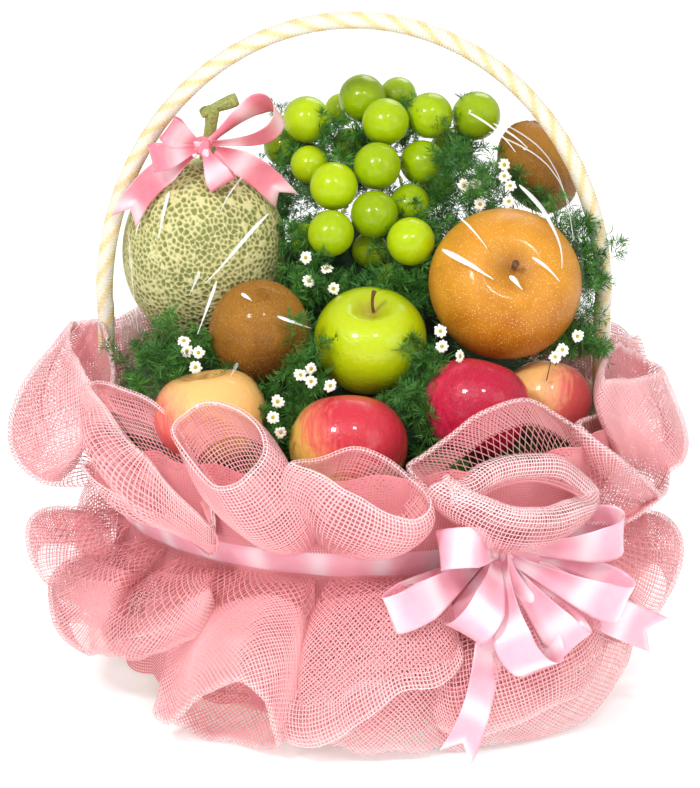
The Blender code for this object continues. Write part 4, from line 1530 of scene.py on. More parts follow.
@dataclass(frozen=True)
class Loop:
    """A bow loop: angles in degrees, length and opening in metres."""

    turn: float
    lean: float
    length: float
    opening: float
    roll: float
    forward: float
    cup: float = 0.10

    def shape(self, knot: Array, axes: Axes, width: float, start: float) -> tuple[Shape, float]:
        """Runs out as a sine over half a wave and opens as a sine over a whole wave.

        Args:
            knot: The knot's middle.
            axes: The bow's axes.
            width: The ribbon's width.
            start: Where the loop leaves the knot.

        Returns:
            The ribbon and its length along the cloth.
        """
        roll = math.radians(self.roll)
        side = axes.toward(self.turn + 90.0, 0.0)
        along = axes.toward(self.turn, self.lean)
        face = axes.toward(self.turn, self.lean + 90.0)
        across = math.cos(roll) * side + math.sin(roll) * face
        apart = math.cos(roll) * face - math.sin(roll) * side
        s = np.linspace(0.0, 1.0, 84)
        run = start + (self.length - start) * np.sin(math.pi * s) ** 0.9
        spread = 0.5 * self.opening * np.sin(TAU * s)
        middle = knot + self.forward * face + run[:, None] * along + spread[:, None] * apart
        near = np.clip(1.7 * np.sin(math.pi * s) - 0.25, 0.0, 1.0)
        widths = width * (0.36 + 0.64 * near)
        twist = 0.16 * np.sin(TAU * s + self.turn)[:, None]
        ways = unit(across + twist * apart)
        cup = self.cup * (1.0 - near) * 2.2 + 0.25 * self.cup
        shape = strip(middle, np.broadcast_to(ways, middle.shape), widths, cup)
        return shape, float(way_along(middle)[-1])


@dataclass(frozen=True)
class Tail:
    """A loose end through four points, each as turn, lean (degrees) and distance."""

    route: tuple[Triple, ...]
    ripple: float = 0.0022

    def shape(self, knot: Array, axes: Axes, width: float) -> tuple[Shape, float]:
        """A Bezier curve through the polar points, rippled, widening out of the knot and notched.

        Args:
            knot: Where the end leaves the knot.
            axes: The bow's axes.
            width: The ribbon's width.

        Returns:
            The ribbon and its length along the cloth.
        """
        _, _, out = axes.vectors()
        corners = [knot + distance * axes.toward(turn, lean) for turn, lean, distance in self.route]
        share = np.linspace(0.0, 1.0, 64)
        middle = bezier(corners, share)
        middle = middle + (self.ripple * np.sin(9.0 * share) * share)[:, None] * out
        along = unit(np.gradient(middle, axis=0))
        across = unit(np.cross(out, along))
        sway = 0.22 * np.sin(7.0 * share)[:, None] * share[:, None]
        across = unit(across + sway * out)
        near = np.clip(3.5 * share, 0.0, 1.0)
        widths = width * (0.35 + 0.65 * near)
        shape = strip(middle, across, widths, 0.30 * (1.0 - near) + 0.05, notch=0.011)
        return shape, float(way_along(middle)[-1])


@dataclass(frozen=True)
class Bow:
    """A knot with its loops and tails."""

    prefix: str
    azimuth: float
    width: float
    knot_half: Triple
    finish: Finish
    loops: dict[str, Loop]
    tails: dict[str, Tail]
    thickness: float = 0.0003

    def build(self) -> None:
        """Makes the knot, every loop and every tail."""
        axes = Axes(self.azimuth)
        knot = seat(self.prefix + "_knot")[2]
        self.tie(knot, axes)
        start = 0.45 * max(self.knot_half)
        for name, loop in self.loops.items():
            shape, length = loop.shape(knot, axes, self.width, start)
            self.ribbon(name, shape)
        for name, tail in self.tails.items():
            shape, length = tail.shape(knot, axes, self.width)
            self.ribbon(name, shape)

    def ribbon(self, name: str, shape: Shape) -> None:
        """Args:
            name: The CAD node that it replaces.
            shape: Its surface.
        """
        piece = shape.piece(name + "_satin", self.finish, [name])
        thicken(piece, self.thickness)

    def tie(self, knot: Array, axes: Axes) -> None:
        """The knot: a wrapped band with lengthwise folds, on a superellipsoid.

        Args:
            knot: Its middle.
            axes: The bow's axes.
        """
        right, up, out = axes.vectors()
        turn = circle(72)[None]
        rise = np.linspace(-0.5 * math.pi, 0.5 * math.pi, 42)[1:-1, None]
        half_x, half_y, half_z = self.knot_half
        pleat = 1.0 + 0.055 * np.cos(7.0 * turn + 3.0 * np.sin(rise)) * np.cos(rise)
        level = np.cos(rise) ** 0.62 * pleat
        x = half_x * level * np.cos(turn)
        y = half_y * level * np.sin(turn)
        z = half_z * np.sin(rise) * (1.0 + 0.0 * turn)
        rings = knot + x[..., None] * right + y[..., None] * out + z[..., None] * up
        shape = Shape.closed(rings, knot - up * half_z * 0.99, knot + up * half_z * 0.99)
        flat = np.stack((0.2 * z, 0.5 * x, 0.0 * z), axis=-1).reshape(-1, 3)
        shape.with_value("lie", np.vstack((flat, np.zeros((2, 3)))))
        shape.piece(self.prefix + "_tie", self.finish, [self.prefix + "_knot"])


@dataclass(frozen=True)
class WaistRibbon:
    """The satin band drawn tight round the net."""

    node: str = "waist_ribbon"
    height: float = 0.1345
    width: float = 0.024
    standoff: float = 0.0035
    thickness: float = 0.0003

    def build(self, basket: Basket, finish: Finish) -> None:
        """A band that follows the wall, with shallow gathers and a slight drift in height.

        Args:
            basket: The basket, for its taper and place.
            finish: The satin.
        """
        turn = circle(520)
        share = np.linspace(-0.5, 0.5, 12)[:, None]
        drift = 0.0011 * np.sin(2.0 * turn + 0.8) + 0.0006 * np.sin(5.0 * turn)
        height = self.height + share * self.width + drift
        gather = 0.0006 * np.sin(23.0 * turn + 2.0 * np.sin(3.0 * turn)) * (1.0 - 1.2 * np.abs(share))
        bulge = 0.0012 * (0.25 - share**2) * 4.0
        radius = basket.wall_radius(height) + self.standoff + gather + bulge
        points = turned(radius, turn, height) + basket.middle()
        shape = Shape.grid(points, ring_columns=True)
        lie = np.stack(np.broadcast_arrays(0.168 * turn, share * self.width, 0.0), axis=-1)
        shape.with_value("lie", lie.reshape(-1, 3))
        piece = shape.piece("waist_satin", finish, [self.node])
        thicken(piece, self.thickness)


# ---- Film --------------------------------------------------------


@dataclass(frozen=True)
class Crease:
    """A pulled fold in the film, from one direction to another (azimuth, elevation in degrees); its
    strength is how strongly a white glint is painted along it.
    """

    start: tuple[float, float]
    end: tuple[float, float]
    width: float = 0.9
    rise: float = 0.0005
    strength: float = 0.72

    def directions(self) -> Array:
        """Azimuth and elevation over the fold: a spindle, slightly bent, as (samples, 3, 2)."""
        share = np.linspace(0.0, 1.0, 25)
        start, end = np.array(self.start), np.array(self.end)
        squeeze = np.array((math.cos(math.radians(0.5 * (start[1] + end[1]))), 1.0))
        along = unit((end - start) * squeeze)
        side = np.array((-along[1], along[0]))
        spindle = (0.03 + 0.97 * np.sin(math.pi * share**0.6) ** 0.9) * (1.0 - 0.45 * share)
        half = 0.5 * self.width * spindle
        bend = 0.015 * np.linalg.norm((end - start) * squeeze) * np.sin(math.pi * share)
        across = np.array((-1.0, 0.15, 1.0))[None] * half[:, None] + bend[:, None]
        return start + share[:, None, None] * (end - start) + across[..., None] * side / squeeze


@dataclass(frozen=True)
class Film:
    """The clear film: the taut hull of the fruit and of a hoop just inside the rim."""

    bodies: tuple[Fruit, ...]
    creases: tuple[Crease, ...]
    node: str = "film"
    standoff: float = 0.0016
    hoop_radius: float = 0.160
    hem: float = 0.192
    roll_width: float = 0.62
    share_used: float = 0.8
    normals: int = 5200
    rows: int = 120
    columns: int = 240

    def support(self, facing: Array, eye: Array, middle: Array) -> Array:
        """How far the wrapped things reach in each facing direction, seen from the eye.

        A spheroid reaches its middle's share plus the length of its half axes times the facing.

        Args:
            facing: Unit vectors, as (n, 3).
            eye: The point that the film is measured from.
            middle: The basket's axis at the floor.

        Returns:
            The reach, as (n,).
        """
        hoop = middle + UP * self.hem - eye
        reach = [facing @ hoop + self.hoop_radius * np.linalg.norm(facing[:, :2], axis=1)]
        for fruit in self.bodies:
            lengthwise = (facing @ unit(np.array(fruit.body.axis))) ** 2
            size = np.sqrt(fruit.body.across**2 * (1.0 - lengthwise) + fruit.body.along**2 * lengthwise)
            reach.append(facing @ (seat(fruit.node)[2] - eye) + size + self.standoff)
        return np.max(reach, axis=0)

    @staticmethod
    def hull(rays: Array, facing: Array, reach: Array) -> Array:
        """How far the hull is along each ray, with a little slackness."""
        flat = rays.reshape(-1, 3).astype(np.float32)
        distance = []
        for part in np.array_split(flat, 1 + len(flat) // 4000):
            cosine = part @ facing.T.astype(np.float32)
            ratio = reach.astype(np.float32) / np.maximum(cosine, 0.02)
            ratio = np.where(cosine > 0.02, ratio, 9.0)
            distance.append(ratio.min(axis=1))
        return np.concatenate(distance).reshape(rays.shape[:-1]) + 0.0005 * lumps(rays, 9.0, 3)

    def build(self, basket: Basket) -> None:
        """Measures the hull along rays and lays the raised creases over it, each with a painted glint.

        Along a ray the hull is at the least of reach over cosine for all facing directions.
        """
        middle = basket.middle()
        eye = middle + UP * self.hem
        facing = spiral(self.normals, 1.15)
        reach = self.support(facing, eye, middle)
        even = np.linspace(-1.0, 1.0, self.columns, endpoint=False)[None]
        azimuth = 180.0 * even + 90.0 * np.sin(math.pi * even) / math.pi - 90.0
        rays = rays_at(azimuth, np.linspace(0.5, 89.0, self.rows)[:, None])
        points = eye + rays * self.hull(rays, facing, reach)[..., None]
        shape = Shape.grid(points, ring_columns=True)
        rows, columns = points.shape[:2]
        ring = (rows - 1) * columns + np.arange(columns)
        top = np.stack((ring, np.roll(ring, -1), np.full(columns, rows * columns)), axis=-1)
        crown = points[-1].mean(axis=0) + UP * 0.0002
        shape.points = np.vstack((shape.points, crown))
        shape.quads = shape.quads[:, ::-1]
        shape.triangles = top
        shapes = [shape.with_value("painted_glint", 0.0)]
        for fold in self.creases:
            rays = rays_at(*np.moveaxis(fold.directions(), -1, 0))
            lift = self.hull(rays, facing, reach) + fold.rise * np.array((1.0, 2.2, 1.0))
            ridge = Shape.grid(eye + rays * lift[..., None])
            # Painted glint: the raised strip is painted white by the crease's strength.
            shapes.append(ridge.with_value("painted_glint", fold.strength))
        shape = Shape.joined(shapes)
        piece = shape.piece("film_sheet", ClearFilm("clear_film", "film", 0.07), [self.node])


# ---- Fern and daisies --------------------------------------------


@dataclass(frozen=True)
class Tuft:
    """A bunch of fern sprigs that grow from one place (relative to the basket's axis)."""

    place: Triple
    aim: Triple
    sprigs: int
    length: float = 0.042
    spread: float = 0.55


@dataclass(frozen=True)
class Fern:
    """Feathery fern: stems with side twigs, each covered in fine needles."""

    tufts: tuple[Tuft, ...]
    node: str = "fern_bed"
    twigs: int = 7
    needles: int = 24
    needle_length: float = 0.0100
    needle_width: float = 0.00064
    radius: float = 0.158
    cover: int = 330
    seed: int = 23

    def sprigs(
        self, roots: Array, aims: Array, lengths: Array, random: np.random.Generator
    ) -> Shape:
        """Every sprig at once.

        A stem bends a little under its weight. Twigs leave it on alternating sides and shorten to
        the tip, so that the sprig is a flat plume; needles stand round each twig and lean forward.

        Args:
            roots: Where the sprigs start, as (n, 3).
            aims: Their directions, as (n, 3).
            lengths: Their lengths, as (n,).
            random: The source of the unevenness.

        Returns:
            The needles and twigs as slim four-cornered faces, with a tint.
        """
        count = len(roots)
        side = unit(np.cross(aims, random.normal(size=(count, 3))))
        droop = np.cross(side, aims)
        share = (np.arange(self.twigs) + 0.6) / self.twigs
        bend = 0.18 * droop[:, None] - 0.10 * UP
        route = share[:, None] * aims[:, None] + share[:, None] ** 2 * bend
        stem = roots[:, None] + 0.8 * lengths[:, None, None] * route
        sign = np.where(np.arange(self.twigs) % 2 == 0, 1.0, -1.0)[:, None]
        wander = random.normal(scale=0.25, size=stem.shape)
        twig_aim = unit(0.85 * aims[:, None] + sign * side[:, None] + wander)
        uneven = random.uniform(0.75, 1.2, size=stem.shape[:2])
        twig_length = lengths[:, None] * 0.42 * (1.15 - share) * uneven
        along = (np.arange(self.needles) + 0.5) / self.needles
        base = stem[:, :, None] + twig_length[..., None, None] * along[:, None] * twig_aim[:, :, None]
        wild = random.normal(size=base.shape)
        out = unit(np.cross(twig_aim[:, :, None], wild))
        needle_aim = unit(out + 0.75 * twig_aim[:, :, None])
        uneven = random.uniform(0.6, 1.25, size=base.shape[:3] + (1,))
        size = self.needle_length * (1.1 - 0.6 * along)[:, None] * uneven
        tip = base + needle_aim * size
        breadth = unit(np.cross(needle_aim, random.normal(size=base.shape))) * 0.5 * self.needle_width
        middle = base + needle_aim * size * 0.5
        needle = np.stack((base, middle + breadth, tip, middle - breadth), axis=-2).reshape(-1, 4, 3)
        ends = np.stack((stem, stem + twig_length[..., None] * twig_aim), axis=2)
        thick = unit(np.cross(twig_aim, random.normal(size=stem.shape))) * 0.00028
        foot, end = ends[:, :, 0], ends[:, :, 1]
        twig = np.stack((foot - thick, foot + thick, end, end - thick), axis=-2)
        tips = np.tile((0.0, 0.35, 1.0, 0.35), len(needle))
        tips = np.concatenate((tips, np.full(twig.size // 3, 0.3)))
        corners = np.concatenate((needle.reshape(-1, 3), twig.reshape(-1, 3)))
        shape = Shape(corners, np.arange(len(corners)).reshape(-1, 4))
        shade = np.repeat(random.uniform(0.0, 0.5, count), self.twigs * self.needles * 4)
        shade = np.concatenate((shade, np.full(twig.size // 3, 0.2)))
        return shape.with_value("tint", np.clip(tips * 0.55 + shade - 0.15, 0.0, 1.0))

    def build(self, basket: Basket) -> None:
        """The tufts in front, and a cover of sprigs over the rest of the bed."""
        random = np.random.default_rng(self.seed)
        middle = basket.middle()
        roots, aims, lengths = [], [], []
        for tuft in self.tufts:
            scatter = random.normal(scale=(0.010, 0.006, 0.008), size=(tuft.sprigs, 3))
            roots.append(middle + np.array(tuft.place) + scatter)
            aims.append(unit(np.array(tuft.aim) + random.normal(scale=tuft.spread, size=scatter.shape)))
            lengths.append(tuft.length * random.uniform(0.65, 1.2, tuft.sprigs))
        tones = {"light": "2f7a1e", "dark": "0b3810", "tint": "62a23a"}
        finish = Plain("fern_green", "fern", 0.55, **tones, scale=180.0, relief=0.0)
        front = self.sprigs(np.vstack(roots), np.vstack(aims), np.concatenate(lengths), random)
        front.piece("fern_front", finish)
        count = self.cover
        turn = random.uniform(0.0, TAU, count)
        radius = self.radius * np.sqrt(random.uniform(0.02, 1.0, count))
        x, y = radius * np.cos(turn), radius * np.sin(turn)
        cover = np.stack((x, y, 0.170 + 0.168 * self.heap(x, y)), axis=-1)
        outward = np.stack((x * 5.0, y * 5.0, np.full(count, 0.8)), axis=-1)
        outward = outward + random.normal(scale=0.4, size=cover.shape)
        back = self.sprigs(cover + middle, unit(outward), random.uniform(0.026, 0.042, count), random)
        back.piece("fern_cover", finish)
        self.core(basket)

    @staticmethod
    def heap(x: Array, y: Array) -> Array:
        """How high the heap is over a place from the axis: 1 at its top and 0 outside its oval."""
        return np.clip(1.0 - (x / 0.146) ** 2 - ((y - 0.045) / 0.118) ** 2, 0.0, 1.0)

    def core(self, basket: Basket) -> None:
        """The packed inside of the fern, hollowed under the fruit, in a very dark green that is painted
        shade.
        """
        middle = basket.middle()
        turn = circle(120)[None]
        radius = np.linspace(0.04, 1.0, 46)[:, None] * self.radius
        x, y = radius * np.cos(turn), radius * np.sin(turn)
        height = 0.160 + 0.150 * self.heap(x, y)
        for node in FRUIT_NODES:
            bottom, top, centre = seat(node)
            size = 0.5 * (top - bottom).max() + 0.004
            centre = centre - middle
            under = np.clip(size**2 - (x - centre[0]) ** 2 - (y - centre[1]) ** 2, 0.0, None)
            height = np.where(under > 0.0, np.minimum(height, centre[2] - np.sqrt(under)), height)
        points = np.stack((x, y, np.maximum(height, 0.05)), axis=-1)
        points = points + 0.002 * lumps(points, 260.0, 4)[..., None] * UP
        rings = np.concatenate((points, turned(0.118, turn, 0.012))) + middle
        shape = Shape.closed(rings, rings[0].mean(axis=0), rings[-1].mean(axis=0))
        shape.with_value("tint", 0.0)
        # Painted shade: the inside of the fern bed is given a near-black green.
        shaded_fern = Plain("fern_core_shade", "fern", 0.8, light="17461a", dark="0a2c0e", scale=420.0, relief=0.002)
        shape.piece("fern_heart", shaded_fern, [self.node])


FRUIT_NODES = (
    "melon", "russet_pear", "green_apple", "kiwi_front", "kiwi_back", "apple_front",
    "apple_crimson", "apple_right", "apple_left",
)


@dataclass(frozen=True)
class Daisies:
    """Small cream flowers on thin stems, in loose groups."""

    places: tuple[Triple, ...]
    size: float = 0.0048
    petals: int = 10
    seed: int = 41

    def build(self, basket: Basket) -> None:
        """Petals, centres and stems, each as one piece for all flowers.

        A petal is a narrow sheet whose half width is the square root of a sine of its length, and
        which arches; a centre is a low dome.
        """
        random = np.random.default_rng(self.seed)
        middle = basket.middle()
        share = np.linspace(0.0, 1.0, 6)[:, None]
        over = np.array((-1.0, 0.0, 1.0))[None]
        petals, domes, stems = [], [], []
        for place in self.places:
            head = middle + np.array(place)
            away = unit(np.array((place[0] * 0.4, -1.0, 0.35)) + random.normal(scale=0.3, size=3))
            side, front, _ = basis(away)
            for number in range(self.petals):
                angle = TAU * (number + random.uniform(-0.2, 0.2)) / self.petals
                spoke = math.cos(angle) * side + math.sin(angle) * front
                wide = np.cross(away, spoke)
                length = self.size * random.uniform(0.82, 1.06)
                half = 0.26 * self.size * np.sqrt(np.sin(math.pi * (0.10 + 0.86 * share)))
                droop = random.uniform(-0.06, 0.12)
                lift = 0.16 * self.size * np.sin(math.pi * share) + droop * self.size * share
                run = (0.16 + 0.84 * share) * length
                points = head + (run + 0.0 * over)[..., None] * spoke + (half * over)[..., None] * wide
                lift = lift - 0.1 * self.size * over**2 * share
                petals.append(Shape.grid(points + lift[..., None] * away))
            turn = circle(10)[None]
            rise = np.linspace(0.0, 0.44 * math.pi, 4)[:, None]
            flat = 0.33 * self.size * np.cos(rise)
            dome = turned(flat, turn, 0.20 * self.size * np.sin(rise))
            dome = head + dome @ np.stack((side, front, away))
            domes.append(Shape.closed(dome, head - away * 0.0003, head + away * 0.23 * self.size))
            tail = head - away * 0.016 + (0.0, 0.006, -0.012)
            route = through((head - away * 0.0004, head - away * 0.008, tail), 7)
            stems.append(rod(route, np.full(7, 0.00042), 5))
        cream = Plain("daisy_petal", "fern", 0.6, light="ffffff", dark="f2ecd2", scale=900.0, relief=0.0)
        tones = {"light": "e3d24a", "dark": "b8a92c"}
        yolk = Plain("daisy_centre", "fern", 0.7, **tones, scale=2500.0, relief=0.0006)
        stalk = Plain("daisy_stem", "fern", 0.6, light="5f9a4a", dark="3d7434", scale=400.0)
        Shape.joined(petals).piece("daisy_petals", cream)
        Shape.joined(domes).piece("daisy_centres", yolk)
        Shape.joined(stems).piece("daisy_stems", stalk)


# ---- Studio ------------------------------------------------------


@dataclass(frozen=True)
class Lamp:
    """A soft square lamp that faces the object."""

    name: str
    place: Triple
    size: float
    power: float


@dataclass(frozen=True)
class FloorPaint(Finish):
    """Matt white that glows a little, so that the floor fades into the surround."""

    def dress(self, recipe: Recipe, shader: Node) -> None:
        """Two close whites under an even glow."""
        recipe.wear(shader, Emission_Color=(1.0, 1.0, 1.0, 1.0), Emission_Strength=0.35)
        mottle = recipe.effect(Effect.MOTTLE, recipe.place(), 1.5, 0.3)
        recipe.wear(shader, Base_Color=recipe.mix(mottle, "fdfdfd", "ffffff"))


@dataclass(frozen=True)
class Studio:
    """Pale floor, white surround, soft lamps and the camera."""

    aim_shift: float = -0.0028
    aim_height: float = 0.200
    elevation: float = 17.0
    distance: float = 3.0
    lens: float = 220.4
    lamps: tuple[Lamp, ...] = (
        Lamp("key", (-1.2, -1.9, 2.0), 0.42, 40.0),
        Lamp("window", (0.5, -2.0, 2.2), 0.28, 16.0),
        Lamp("fill", (1.9, -1.6, 1.1), 1.4, 10.0),
        Lamp("rim", (0.6, 1.7, 1.9), 1.2, 16.0),
    )

    def build(self, basket: Basket) -> None:
        """Makes everything round the object."""
        target = basket.middle() + np.array((self.aim_shift, 0.0, self.aim_height))
        self.floor(basket)
        self.surround()
        for lamp in self.lamps:
            light = bpy.data.lights.new(lamp.name, "AREA")
            light.energy = lamp.power
            light.size = lamp.size
            self.aimed(bpy.data.objects.new(lamp.name, light), np.array(lamp.place), target)
        angle = math.radians(self.elevation)
        camera = bpy.data.cameras.new("camera")
        camera.lens = self.lens
        camera.sensor_width = 36.0
        camera.sensor_fit = "HORIZONTAL"
        camera.clip_end = 50.0
        eye = target + self.distance * np.array((0.0, -math.cos(angle), math.sin(angle)))
        viewer = self.aimed(bpy.data.objects.new("camera", camera), eye, target)
        bpy.context.scene.camera = viewer

    @staticmethod
    def aimed(obj: bpy.types.Object, place: Array, target: Array) -> bpy.types.Object:
        """Stands a lamp or camera at a place, turned to the target with its top up."""
        back = unit(place - target)
        side = unit(np.cross(UP, back))
        matrix = np.eye(4)
        matrix[:3, :3] = np.stack((side, np.cross(back, side), back), axis=1)
        matrix[:3, 3] = place
        obj.matrix_world = Matrix(matrix.tolist())
        bpy.context.scene.collection.objects.link(obj)
        return obj

    def floor(self, basket: Basket) -> None:
        """A flat pale sheet under the object."""
        half = 6.0
        run = np.linspace(-half, half, 60)
        across = np.linspace(-half, half, 3)
        points = np.stack(np.meshgrid(across, run, indexing="ij") + [np.zeros((3, 60))], axis=-1)
        points = points + basket.middle() * (1.0, 1.0, 0.0) - UP * 0.0002
        mesh = bpy.data.meshes.new("floor")
        shape = Shape.grid(points)
        mesh.from_pydata(shape.points.tolist(), [], shape.quads[:, ::-1].tolist())
        mesh.materials.append(FloorPaint("studio_floor", "", 0.9).material())
        obj = bpy.data.objects.new("floor", mesh)
        bpy.context.scene.collection.objects.link(obj)

    @staticmethod
    def surround() -> None:
        """Even white light from all round, and plain tones."""
        scene = bpy.context.scene
        world = bpy.data.worlds.new("white")
        world.use_nodes = True
        background = world.node_tree.nodes["Background"]
        background.inputs["Color"].default_value = (1.0, 1.0, 1.0, 1.0)
        background.inputs["Strength"].default_value = 0.62
        scene.world = world
        scene.view_settings.view_transform = "Standard"
        scene.view_settings.look = "None"


# ---- The gift basket ---------------------------------------------

PEAR_SKIN = RussetSkin("pear_skin", "russet_pear", 0.35)
GREEN_SKIN = AppleSkin(
    "green_apple_skin", "green_apple", 0.22, pale="9cb000", middle="abc000", deep="c0d208",
    streak=0.2, dots=0.09, dot_colour="e2f08c",
)
FRONT_SKIN = AppleSkin(
    "front_apple_skin", "red_apple", 0.22, pale="f9c863", middle="ee7560", deep="cf3142"
)
CRIMSON_SKIN = AppleSkin(
    "crimson_apple_skin", "red_apple", 0.25, pale="ea5068", middle="dc2c52", deep="b81238",
    dots=0.16, dot_colour="f59aa0",
)
PEACH_SKIN = AppleSkin(
    "peach_apple_skin", "red_apple", 0.25, pale="f7c074", middle="f5a878", deep="e86260"
)


def apple(across: float, along: float, axis: Triple) -> Body:
    """A red apple's outline."""
    return Body(across, along, axis, cavity=0.34, basin=0.16, fullness=0.10, lobes=0.014)


PEAR_AXIS = (0.10, -0.835, 0.54)
GREEN_AXIS = (0.02, -0.36, 0.93)
PEAR = Body(0.0525, 0.0470, PEAR_AXIS, cavity=0.24, basin=0.10, fullness=0.02, lobes=0.006)
GREEN_APPLE = Body(0.0385, 0.0365, GREEN_AXIS, cavity=0.34, basin=0.16, fullness=0.08, lobes=0.016)
FRONT_APPLE = apple(0.0402, 0.0375, (0.0, 0.55, 0.83))
CRIMSON_APPLE = apple(0.0362, 0.0350, (0.25, 0.5, 0.83))
RIGHT_APPLE = apple(0.0303, 0.0290, (0.1, 0.6, 0.80))
LEFT_APPLE = apple(0.0380, 0.0350, (-0.15, 0.12, 0.97))
FRUIT = (
    # The pear's field is painted shade, darker towards the front underside.
    Fruit("russet_pear", PEAR, PEAR_SKIN, 3, toward((0.2, -0.3, -1.0), -0.4, 1.1)),
    # The green apple's field makes it lighter yellow-green on the side facing front left and up.
    Fruit("green_apple", GREEN_APPLE, GREEN_SKIN, 4, toward((-0.3, -1.0, 0.4), -1.0, 1.4)),
    Fruit("apple_front", FRONT_APPLE, FRONT_SKIN, 5, toward((0.55, -0.45, 0.75), -0.35, 0.95)),
    Fruit("apple_crimson", CRIMSON_APPLE, CRIMSON_SKIN, 6, toward((0.3, -0.4, 0.2), -1.0, 1.0)),
    Fruit("apple_right", RIGHT_APPLE, PEACH_SKIN, 7, toward((1.0, -0.2, -0.1), -0.5, 0.9)),
    Fruit("apple_left", LEFT_APPLE, PEACH_SKIN, 8, toward((-0.9, -0.3, -0.4), 0.0, 1.1)),
)
GRAPE_RADIUS = 0.017
KIWIS = (
    Kiwi("kiwi_front", 0.0338, 0.0375, (0.1, -0.55, 0.83), 11000, 12),
    Kiwi("kiwi_back", 0.0262, 0.0345, (-0.50, 0.0, 0.86), 7000, 13),
)
MELON_BODY = Fruit("melon", Body(0.0573, 0.0664, (0.03, -0.05, 1.0)), PEAR_SKIN, 5)

DARK_WOOD = Plain("dry_stem", "stem", 0.7, light="8a5a34", dark="4f2f18", scale=700.0, relief=0.0005)
STEMS = (
    FruitStem("russet_pear_stem", 0.009, 0.0022, PEAR_AXIS, DARK_WOOD),
    FruitStem("green_apple_stem", 0.017, 0.0014, GREEN_AXIS, DARK_WOOD),
)

PINK_SATIN = Satin("pink_ribbon", "pink_satin", 0.28)
CORAL_SATIN = Satin("coral_ribbon", "coral_satin", 0.28, light="f08e9e", dark="da687b", painted_highlight="ffdbe2")

WAIST_BOW = Bow(
    "bow",
    -58.0,
    0.027,
    (0.0065, 0.0060, 0.0095),
    PINK_SATIN,
    {
        "bow_loop_upper_left": Loop(160, 20, 0.064, 0.030, 24, 0.006),
        "bow_loop_far_left": Loop(195, 9, 0.095, 0.026, 14, -0.001),
        "bow_loop_left": Loop(217, 32, 0.072, 0.034, 24, 0.004),
        "bow_loop_centre": Loop(266, 38, 0.088, 0.050, 58, 0.007),
        "bow_loop_lower_right": Loop(303, 28, 0.085, 0.030, 26, 0.001),
        "bow_loop_right": Loop(335, 20, 0.100, 0.034, 18, 0.003),
        "bow_loop_upper_right": Loop(2, 10, 0.096, 0.030, 14, -0.001),
    },
    {
        "bow_tail_right": Tail(((318, 6, 0.011), (320, 20, 0.040), (325, 14, 0.085), (328, 11, 0.142))),
        "bow_tail_front": Tail(((250, 12, 0.011), (250, 34, 0.050), (246, 31, 0.092), (243, 19, 0.142))),
    },
)
MELON_BOW = Bow(
    "melon_bow",
    -90.0,
    0.019,
    (0.0060, 0.0055, 0.0065),
    CORAL_SATIN,
    {
        "melon_bow_loop_left": Loop(187, 28, 0.040, 0.016, 10, 0.002),
        "melon_bow_loop_upper": Loop(144, 30, 0.034, 0.010, 0, 0.002),
        "melon_bow_loop_right": Loop(25, 4, 0.058, 0.030, 36, 0.000),
        "melon_bow_fold": Loop(302, 30, 0.033, 0.010, 0, 0.002),
    },
    {
        "melon_bow_tail_left": Tail(
            ((214, 10, 0.009), (206, 16, 0.033), (213, 15, 0.055), (223, 9, 0.075))
        ),
        "melon_bow_tail_right": Tail(
            ((338, 4, 0.009), (340, 8, 0.033), (331, -2, 0.053), (324, -9, 0.072))
        ),
    },
)

CREASES = (
    Crease((-174.0, 51.0), (-165.0, 43.0), 0.9), Crease((-176.0, 45.0), (-174.0, 40.0), 0.5),
    Crease((-171.0, 65.0), (-160.0, 57.0), 0.4), Crease((-147.0, 65.0), (-144.0, 41.0), 1.1),
    Crease((-148.0, 43.0), (-145.0, 37.0), 0.8, strength=0.5),
    Crease((-142.0, 43.0), (-136.0, 29.0), 0.8), Crease((-133.0, 43.0), (-128.0, 42.0), 1.1),
    Crease((-118.0, 40.0), (-105.0, 38.0), 1.1),
    Crease((-123.0, 25.0), (-123.0, 21.0), 1.0, strength=0.25),
    Crease((-50.0, 55.0), (-43.0, 42.0), 1.6), Crease((-36.0, 60.0), (-39.0, 49.0), 0.5),
    Crease((-10.0, 55.0), (-26.0, 37.0), 1.5), Crease((-32.0, 42.0), (-28.0, 35.0), 0.8),
    Crease((-39.0, 41.0), (-38.0, 37.0), 1.1), Crease((27.0, 66.0), (6.0, 58.0), 0.6),
    Crease((20.0, 62.0), (9.0, 56.0), 0.6), Crease((21.0, 61.0), (-14.0, 40.0), 0.3, strength=0.6),
    Crease((15.0, 63.0), (-6.0, 43.0), 0.3, strength=0.6),
    Crease((-178.0, 39.0), (-157.0, 24.0), 1.0, strength=0.3),
    Crease((70.0, 60.0), (60.0, 20.0), 0.7), Crease((84.0, 50.0), (90.0, 24.0), 0.6),
    Crease((110.0, 62.0), (118.0, 22.0), 0.7), Crease((38.0, 52.0), (44.0, 26.0), 0.7),
    Crease((150.0, 56.0), (160.0, 18.0), 0.7),
)

